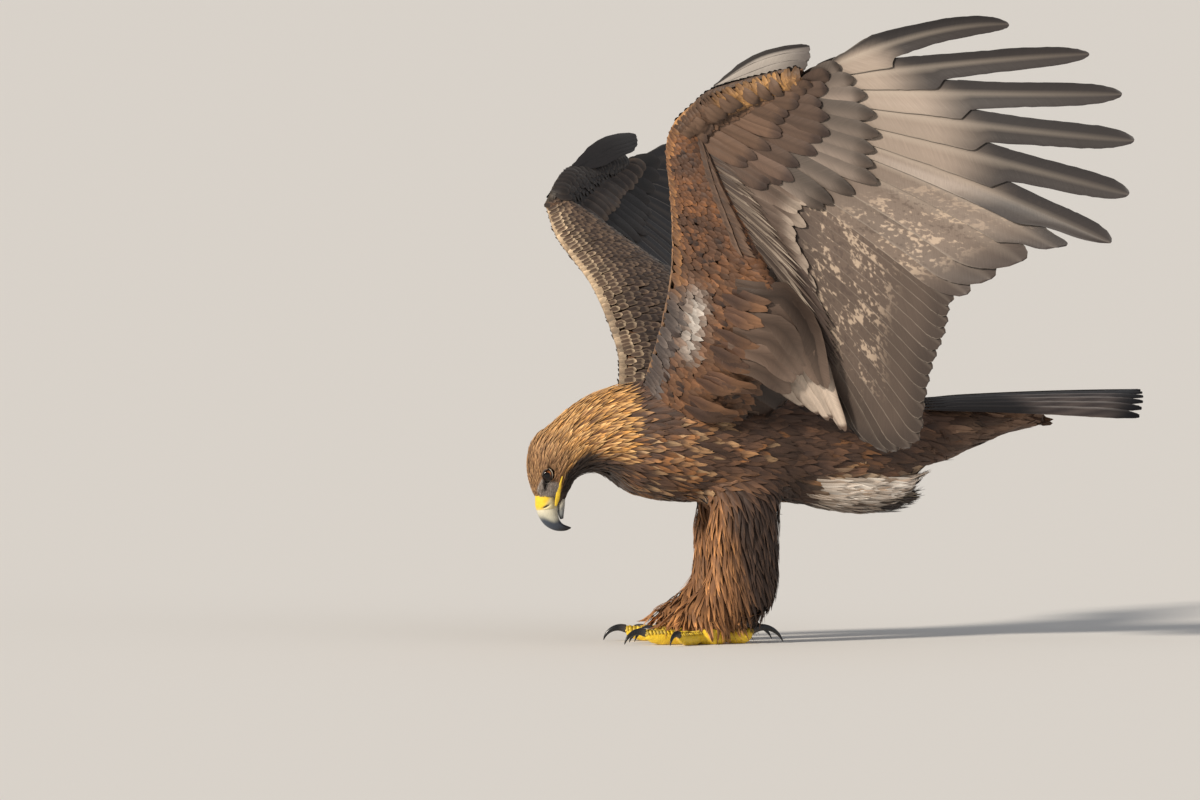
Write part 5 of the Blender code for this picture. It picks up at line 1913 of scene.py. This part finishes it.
def make_tail():
    rng = np.random.default_rng(41)
    coat = Coat("tail_vanes")
    share = row_shares(FLIGHT_ROWS, 0.3)
    round_off = np.clip(1 - np.clip((share - 0.78) / 0.22, 0, 1) ** 2.2, 0, 1) ** 0.6
    width = (np.maximum(round_off, 0.035) * (0.3 + 0.7 * smooth(0, 0.12, share)))[:, None]
    for i in range(TAIL_FEATHERS):
        outwards = 1 if i >= TAIL_FEATHERS / 2 else -1
        middle = tail_line(i, share)
        lead, trail = ((tail_line(i + way, share) - middle) * reach * width
                       for way, reach in zip((outwards, -outwards), TAIL_VANES))
        rank = abs(i - (TAIL_FEATHERS - 1) / 2)
        upper, under = tail_tints(i, rank, share)
        strip = (0.03 + 0.078 * i, 0.52, 0.07, 0.46)
        add_vane(coat, UP, middle, lead, trail, strip, share, upper, under, rng,
                 shingle=(-0.7, -1.6), rise=3.0 - 0.9 * rank, offset=200.0 * i)
    coat.finish(FLIGHT_FEATHER, "flight_feathers", "tail")


# The face

def face_grid(rows, steps, count):
    """Rings of a face part from its culmen side, throat side and half width."""
    rings = []
    for share in np.linspace(0, 1, steps + 1):
        x1, z1, x2, z2, half_width = spline(rows, share)
        front, back = np.array((x1, 0, z1)), np.array((x2, 0, z2))
        half = (front - back) / 2
        reach = np.linalg.norm(half)
        rings.append(oval((front + back) / 2, np.array((0, 1.0, 0)), half / reach, half_width, reach, reach,
                          count))
    return np.array(rings)


def tube(line, wide, deep, normals, count):
    """Rings of a tube along a line, flat or round, with its wide side across the given normals."""
    tangent = unit(np.gradient(line, axis=0))
    normals = unit(normals - tangent * (normals * tangent).sum(-1, keepdims=True))
    side = np.cross(tangent, normals)
    angle = 2 * np.pi * np.arange(count) / count
    wide = np.broadcast_to(wide, len(line))[:, None, None]
    deep = np.broadcast_to(deep, len(line))[:, None, None]
    return (line[:, None] + side[:, None] * np.cos(angle)[None, :, None] * wide
            + normals[:, None] * np.sin(angle)[None, :, None] * deep)


def solid_piece(name, solids, material, slot, *nodes):
    """One piece from several closed solids, each given as points, faces and colours."""
    points, faces, tints, total = [], [], [], 0
    for own, own_faces, tint in solids:
        points.append(own)
        faces.append(outward(own, own_faces) + total)
        tints.append(np.broadcast_to(tint, (len(own), 3)))
        total += len(own)
    obj = mesh_object(name, np.concatenate(points), np.concatenate(faces), np.concatenate(tints), {},
                      [material])
    return place_piece(obj, slot, *nodes)


NOSTRIL = (-246.0, 11.5, 165.2)
NOSTRIL_DEPTH, NOSTRIL_LIP = 2.4, 0.7
EYE_COUNT = 48
LID_STEPS, LID_COUNT = 72, 10
# Growth over the eye's opening, lift over the eye, half thickness and colour of each rim of the lids
LIDS = ((1.00, 0.35, 0.60, (0.022, 0.018, 0.016)), (1.17, 0.30, 0.55, (0.42, 0.35, 0.27)))
GAPE_LINE = ((-230.2, 26.3, 202), (-231.3, 25.2, 195), (-232.3, 22.8, 186), (-233.6, 19.0, 177),
             (-234.8, 13.8, 166))


def press_nostril(points, side):
    """Points with a nostril's slit and lip, and how deep in the slit each lies, from 0 to 1."""
    gap = points - mirrored(NOSTRIL, side)
    long_way, short_way = gap @ np.array((0.86, 0, 0.50)), gap @ np.array((-0.50, 0, 0.86))
    own = points[:, 1] * side > 0
    hole = np.exp(-((long_way / 4.4) ** 2 + (short_way / 1.3) ** 2)) * own
    lip = np.exp(-((long_way / 4.6) ** 2 + ((short_way - 2.0) / 1.6) ** 2)) * own
    return points + np.array((0, side, 0)) * (NOSTRIL_LIP * lip - NOSTRIL_DEPTH * hole)[:, None], hole


def gape_ridge(skin, side):
    """Points and faces of the yellow ridge along the gape, laid on the skin at its rear end."""
    share = np.linspace(0, 1, 26)
    line = spline(mirrored(GAPE_LINE, side), share)
    near, facing = skin.nearest(line[None])
    on_skin = (1 - smooth(0.55, 0.8, share))[:, None]
    line = line * (1 - on_skin) + (near[0] + facing[0] * 0.3) * on_skin
    wide = 0.6 + 2.3 * smooth(0.0, 0.75, share) * (1 - 0.6 * smooth(0.8, 1.0, share))
    return loft(tube(line, wide, 0.75, np.tile((0.15, side, 0), (len(line), 1)), 12))


def make_cere(skin):
    points, faces = loft(face_grid(CERE_ROWS, 22, 72))
    # Painted highlight: the cere turns pale cream towards its rear, as if sunlit
    behind = points[:, 0] + 0.5 * (175 - points[:, 2])
    tint = mix(np.array(YELLOW), (0.58, 0.52, 0.33), 0.9 * smooth(-246, -239, behind))
    tint = mix(tint, (0.60, 0.52, 0.26), 0.6 * smooth(165, 160, points[:, 2]))
    for side in (LEFT, RIGHT):
        points, hole = press_nostril(points, side)
        # Painted shade inside the nostril's slit
        tint = mix(tint, (0.05, 0.035, 0.02), 0.95 * smooth(0.25, 0.75, hole))
    solids = [(points, faces, tint)]
    solids += [(*gape_ridge(skin, side), YELLOW) for side in (LEFT, RIGHT)]
    solid_piece("cere_skin", solids, CERE_SKIN, "cere", "cere")


def bill_grid(rows, steps, count):
    """Points and faces of one half of the bill, each point's share along it and angle round it."""
    points, faces = loft(face_grid(rows, steps, count))
    angle = np.tile(2 * np.pi * (np.arange(count) + 0.5) / count, steps + 1)
    return points, faces, np.repeat(np.linspace(0, 1, steps + 1), count), angle


def make_bill():
    points, faces, share, angle = bill_grid(BILL_ROWS, 40, 64)
    front = smooth(-0.2, 0.9, np.sin(angle))
    base = mix((0.72, 0.66, 0.49), (0.52, 0.50, 0.40), smooth(0.10, 0.42, share + 0.08 * front))
    tint = mix(base, (0.048, 0.060, 0.082), smooth(0.38, 0.54, share + 0.14 * front))
    tint = mix(tint, (0.012, 0.012, 0.015), smooth(0.56, 0.82, share))
    solid_piece("bill_horn_upper", [(points, faces, tint)], BILL_HORN, "bill", "bill_upper")
    points, faces, share, _ = bill_grid(LOWER_BILL_ROWS, 24, 48)
    tint = mix((0.36, 0.34, 0.29), (0.155, 0.165, 0.17), smooth(0.15, 0.6, share))
    tint = mix(tint, (0.035, 0.038, 0.045), smooth(0.6, 0.95, share))
    solid_piece("bill_horn_lower", [(points, faces, tint)], BILL_HORN, "bill", "bill_lower")


def make_eyes():
    angle = np.concatenate((np.linspace(0.02, 1.1, 34), np.linspace(1.2, np.pi - 0.02, 16)))
    turn = 2 * np.pi * np.arange(EYE_COUNT) / EYE_COUNT
    off, around = np.repeat(angle, EYE_COUNT), np.tile(turn, len(angle))
    # Painted light in the iris: orange where light falls on its lower rear; elsewhere its own brown is
    # deepened nearly to black as painted shade under the brow
    lit_iris = np.maximum(-np.cos(around - 0.7), 0) ** 2
    iris = mix((0.014, 0.006, 0.004), (0.32, 0.100, 0.020), lit_iris * smooth(0.38, 0.58, off))
    tint = mix((0.002, 0.0015, 0.0015), iris, smooth(0.39, 0.43, off))
    tint = mix(tint, (0.006, 0.004, 0.003), smooth(0.68, 0.80, off))
    for side, name in SIDE_NAMES.items():
        centre, axis, ahead, above = eye_place(side)
        ring = np.cos(turn)[:, None] * ahead + np.sin(turn)[:, None] * above
        ball = np.cos(angle)[:, None, None] * axis + np.sin(angle)[:, None, None] * ring
        points, faces = loft(centre + (EYE_RADIUS - 0.15) * ball)
        solid_piece(f"eyeball_{name}", [(points, faces, tint)], WET_EYE, "eye", f"eye_{name}")


def make_lids():
    """Two thin rims of bare skin round each eye, joined to one piece."""
    solids = []
    turn = np.linspace(0, 2 * np.pi, LID_STEPS + 1)[:-1]
    for side in (LEFT, RIGHT):
        centre, axis, ahead, above = eye_place(side)
        for grow, lift, thick, colour in LIDS:
            along = np.cos(turn) * EYE_OPENING[0] * grow
            rise = np.sin(turn) * EYE_OPENING[1] * grow
            out = np.sqrt(np.maximum((EYE_RADIUS + lift) ** 2 - along**2 - rise**2, 1))
            line = centre + along[:, None] * ahead + rise[:, None] * above + out[:, None] * axis
            thick = thick * (0.35 + 0.65 * smooth(0.4, -0.3, np.cos(turn)))
            rings = tube(line, thick, thick * 0.8, unit(line - centre), LID_COUNT)
            points, faces = loft(np.concatenate((rings, rings[:1])), close_ends=False)
            count = LID_STEPS * LID_COUNT
            # Painted shade of the brow: each rim is darker on its front and upper side
            away = np.repeat(np.cos(turn) + 0.8 * np.sin(turn), LID_COUNT)
            tint = mix(np.array(colour), (0.045, 0.034, 0.028), smooth(-0.6, 0.2, away))
            solids.append((points[:count], np.where(faces >= count, faces - count, faces), tint))
    solid_piece("eyelids", solids, CERE_SKIN, "head_plumage")


# Feet

def toe_line(toe, side):
    turn = math.radians(TOES[toe][0])
    along = np.array((-math.cos(turn), side * math.sin(turn), 0))
    return along, np.array((-along[1], along[0], 0))


TALON_STEPS, TALON_COUNT = 26, 20


def talon_rings(toe, side):
    along, across = toe_line(toe, side)
    length, half_width, claw_length = TOES[toe][1:]
    start = foot_centre(side) + along * (TOE_START + length + GAP) + UP * 1.75 * half_width
    drop = start[2] - CLAW_TIP_HEIGHT
    half_turn = CLAW_TURN / 2
    heading = half_turn - math.asin(drop * half_turn / (claw_length * math.sin(half_turn)))
    rings, point = [], start - along * 1.2
    for i in range(TALON_STEPS + 1):
        share = i / TALON_STEPS
        slope = heading - CLAW_TURN * share
        normal = -along * math.sin(slope) + UP * math.cos(slope)
        thick = 0.62 * half_width * (1 - share) ** 0.75 + 0.3
        if i:
            halfway = slope + CLAW_TURN / TALON_STEPS / 2
            point = point + (along * math.cos(halfway) + UP * math.sin(halfway)) * claw_length / TALON_STEPS
        rings.append(oval(point, across, normal if i else UP, 0.72 * thick, thick, 0.86 * thick, TALON_COUNT))
    return np.array(rings)


def make_talons():
    for side, name in SIDE_NAMES.items():
        solids = []
        for toe in TOES:
            points, faces = loft(talon_rings(toe, side))
            share = np.repeat(np.linspace(0, 1, TALON_STEPS + 1), TALON_COUNT)
            tint = mix((0.055, 0.050, 0.050), (0.012, 0.012, 0.014), smooth(0, 0.35, share))
            solids.append((points, faces, tint))
        solid_piece(f"talons_{name}", solids, CLAW_HORN, "claw", *(f"claw_{toe}_{name}" for toe in TOES))


SCUTE_STEP, SCUTE_LENGTH = 4.6, 6.2
# Place across the toe and size of each row of scales
SCUTE_ROWS = ((0, 1.0), (-0.78, 0.62), (0.78, 0.62))


def make_scutes(skin):
    """Broad overlapping scales along the top of each toe."""
    rng = np.random.default_rng(51)
    coat = Coat("toe_scutes")
    roots, flows, sizes = [], [], []
    for side in (LEFT, RIGHT):
        for toe in TOES:
            along, across = toe_line(toe, side)
            length, half_width, _ = TOES[toe][1:]
            for distance in np.arange(TOE_START - 4, TOE_START + length - 1, SCUTE_STEP):
                for off, size in SCUTE_ROWS:
                    roots.append(foot_centre(side) + along * distance + across * off * half_width
                                 + UP * (2.4 - 0.55 * abs(off)) * half_width)
                    flows.append(along)
                    sizes.append(size * half_width * 0.62)
    places, normals = skin.nearest(np.array(roots))
    sizes = np.array(sizes)
    tint = mix(np.array(YELLOW), (0.58, 0.42, 0.08), rng.random(len(places)))
    lay(coat, skin, places, normals, np.array(flows), SCUTE_LENGTH, sizes, 4, 4, 0.9, 0.0,
        (tint * 0.55, tint, 0.25, 0.0, 0.2), chart("toe", places), rng, thick=0.7, twist=2, settle=1.0)
    coat.finish(TOE_SKIN, "toe_skin")


# Stage

FRAME_WIDTH = 1.44
CAMERA_DISTANCE = 25.0
AIM = np.array((-164.6, 44.1, 290.5))
FLOOR_REACH, FLOOR_COLOUR, FLOOR_ROUGHNESS = 150, (0.78, 0.76, 0.73), 0.9
# Suns: way across, into and up the view, strength, width in degrees and colour.
# The key comes from the camera's left, above it and behind it
SUNS = {
    "key": (0.62, 0.66, -0.42, 4.2, 8, (1.0, 0.91, 0.79)),
    "fill": (-0.8, 0.5, -0.35, 0.22, 60, (0.92, 0.96, 1.0)),
}
SKY_COLOUR, SKY_STRENGTH = (0.93, 0.95, 1.0), 0.34


def turned(across, into, up):
    """A way across, into and up the view, on the bird's own axes."""
    cos, sin = math.cos(VIEW_TURN), math.sin(VIEW_TURN)
    return np.array((across * cos - into * sin, across * sin + into * cos, up))


def make_camera():
    forward = turned(0, math.cos(VIEW_DOWN), -math.sin(VIEW_DOWN))
    camera = bpy.data.cameras.new("camera")
    camera.sensor_width = 36
    camera.lens = camera.sensor_width * CAMERA_DISTANCE / FRAME_WIDTH
    camera.clip_end = 500
    obj = bpy.data.objects.new("camera", camera)
    obj.location = (AIM - ORIGIN) * MM - forward * CAMERA_DISTANCE
    obj.rotation_euler = Vector(forward).to_track_quat("-Z", "Y").to_euler()
    bpy.context.scene.camera = to_scene(obj)


def sun(name, way, strength, softness, colour):
    light = bpy.data.lights.new(name, "SUN")
    light.energy = strength
    light.angle = math.radians(softness)
    light.color = colour
    obj = bpy.data.objects.new(name, light)
    obj.rotation_euler = Vector(way).to_track_quat("-Z", "Y").to_euler()
    to_scene(obj)


def make_stage():
    mesh = bpy.data.meshes.new("floor")
    corners = ((-1, -1), (1, -1), (1, 1), (-1, 1))
    mesh.from_pydata([(x * FLOOR_REACH, y * FLOOR_REACH, 0) for x, y in corners], [], [(0, 1, 2, 3)])
    floor = to_scene(bpy.data.objects.new("floor", mesh))
    material = bpy.data.materials.new("floor")
    material.use_nodes = True
    shader = material.node_tree.nodes["Principled BSDF"]
    shader.inputs["Base Color"].default_value = (*FLOOR_COLOUR, 1)
    shader.inputs["Roughness"].default_value = FLOOR_ROUGHNESS
    mesh.materials.append(material)
    for name, (across, into, up, *light) in SUNS.items():
        sun(name, turned(across, into, up), *light)
    world = bpy.data.worlds.new("world")
    world.use_nodes = True
    world.node_tree.nodes["Background"].inputs["Color"].default_value = (*SKY_COLOUR, 1)
    world.node_tree.nodes["Background"].inputs["Strength"].default_value = SKY_STRENGTH
    bpy.context.scene.world = world
    bpy.context.scene.view_settings.view_transform = "Standard"


def main():
    make_stage()
    make_camera()
    skin = Skin()
    make_skin(skin)
    make_body_plumage(skin)
    for side, name in SIDE_NAMES.items():
        wing = Wing(side)
        make_flight_feathers(wing, name)
        make_alula(wing, name)
        make_under_coverts(wing, name)
        make_upper_coverts(wing, name)
    make_tail()
    make_cere(skin)
    make_bill()
    make_eyes()
    make_lids()
    make_scutes(skin)
    make_talons()


main()
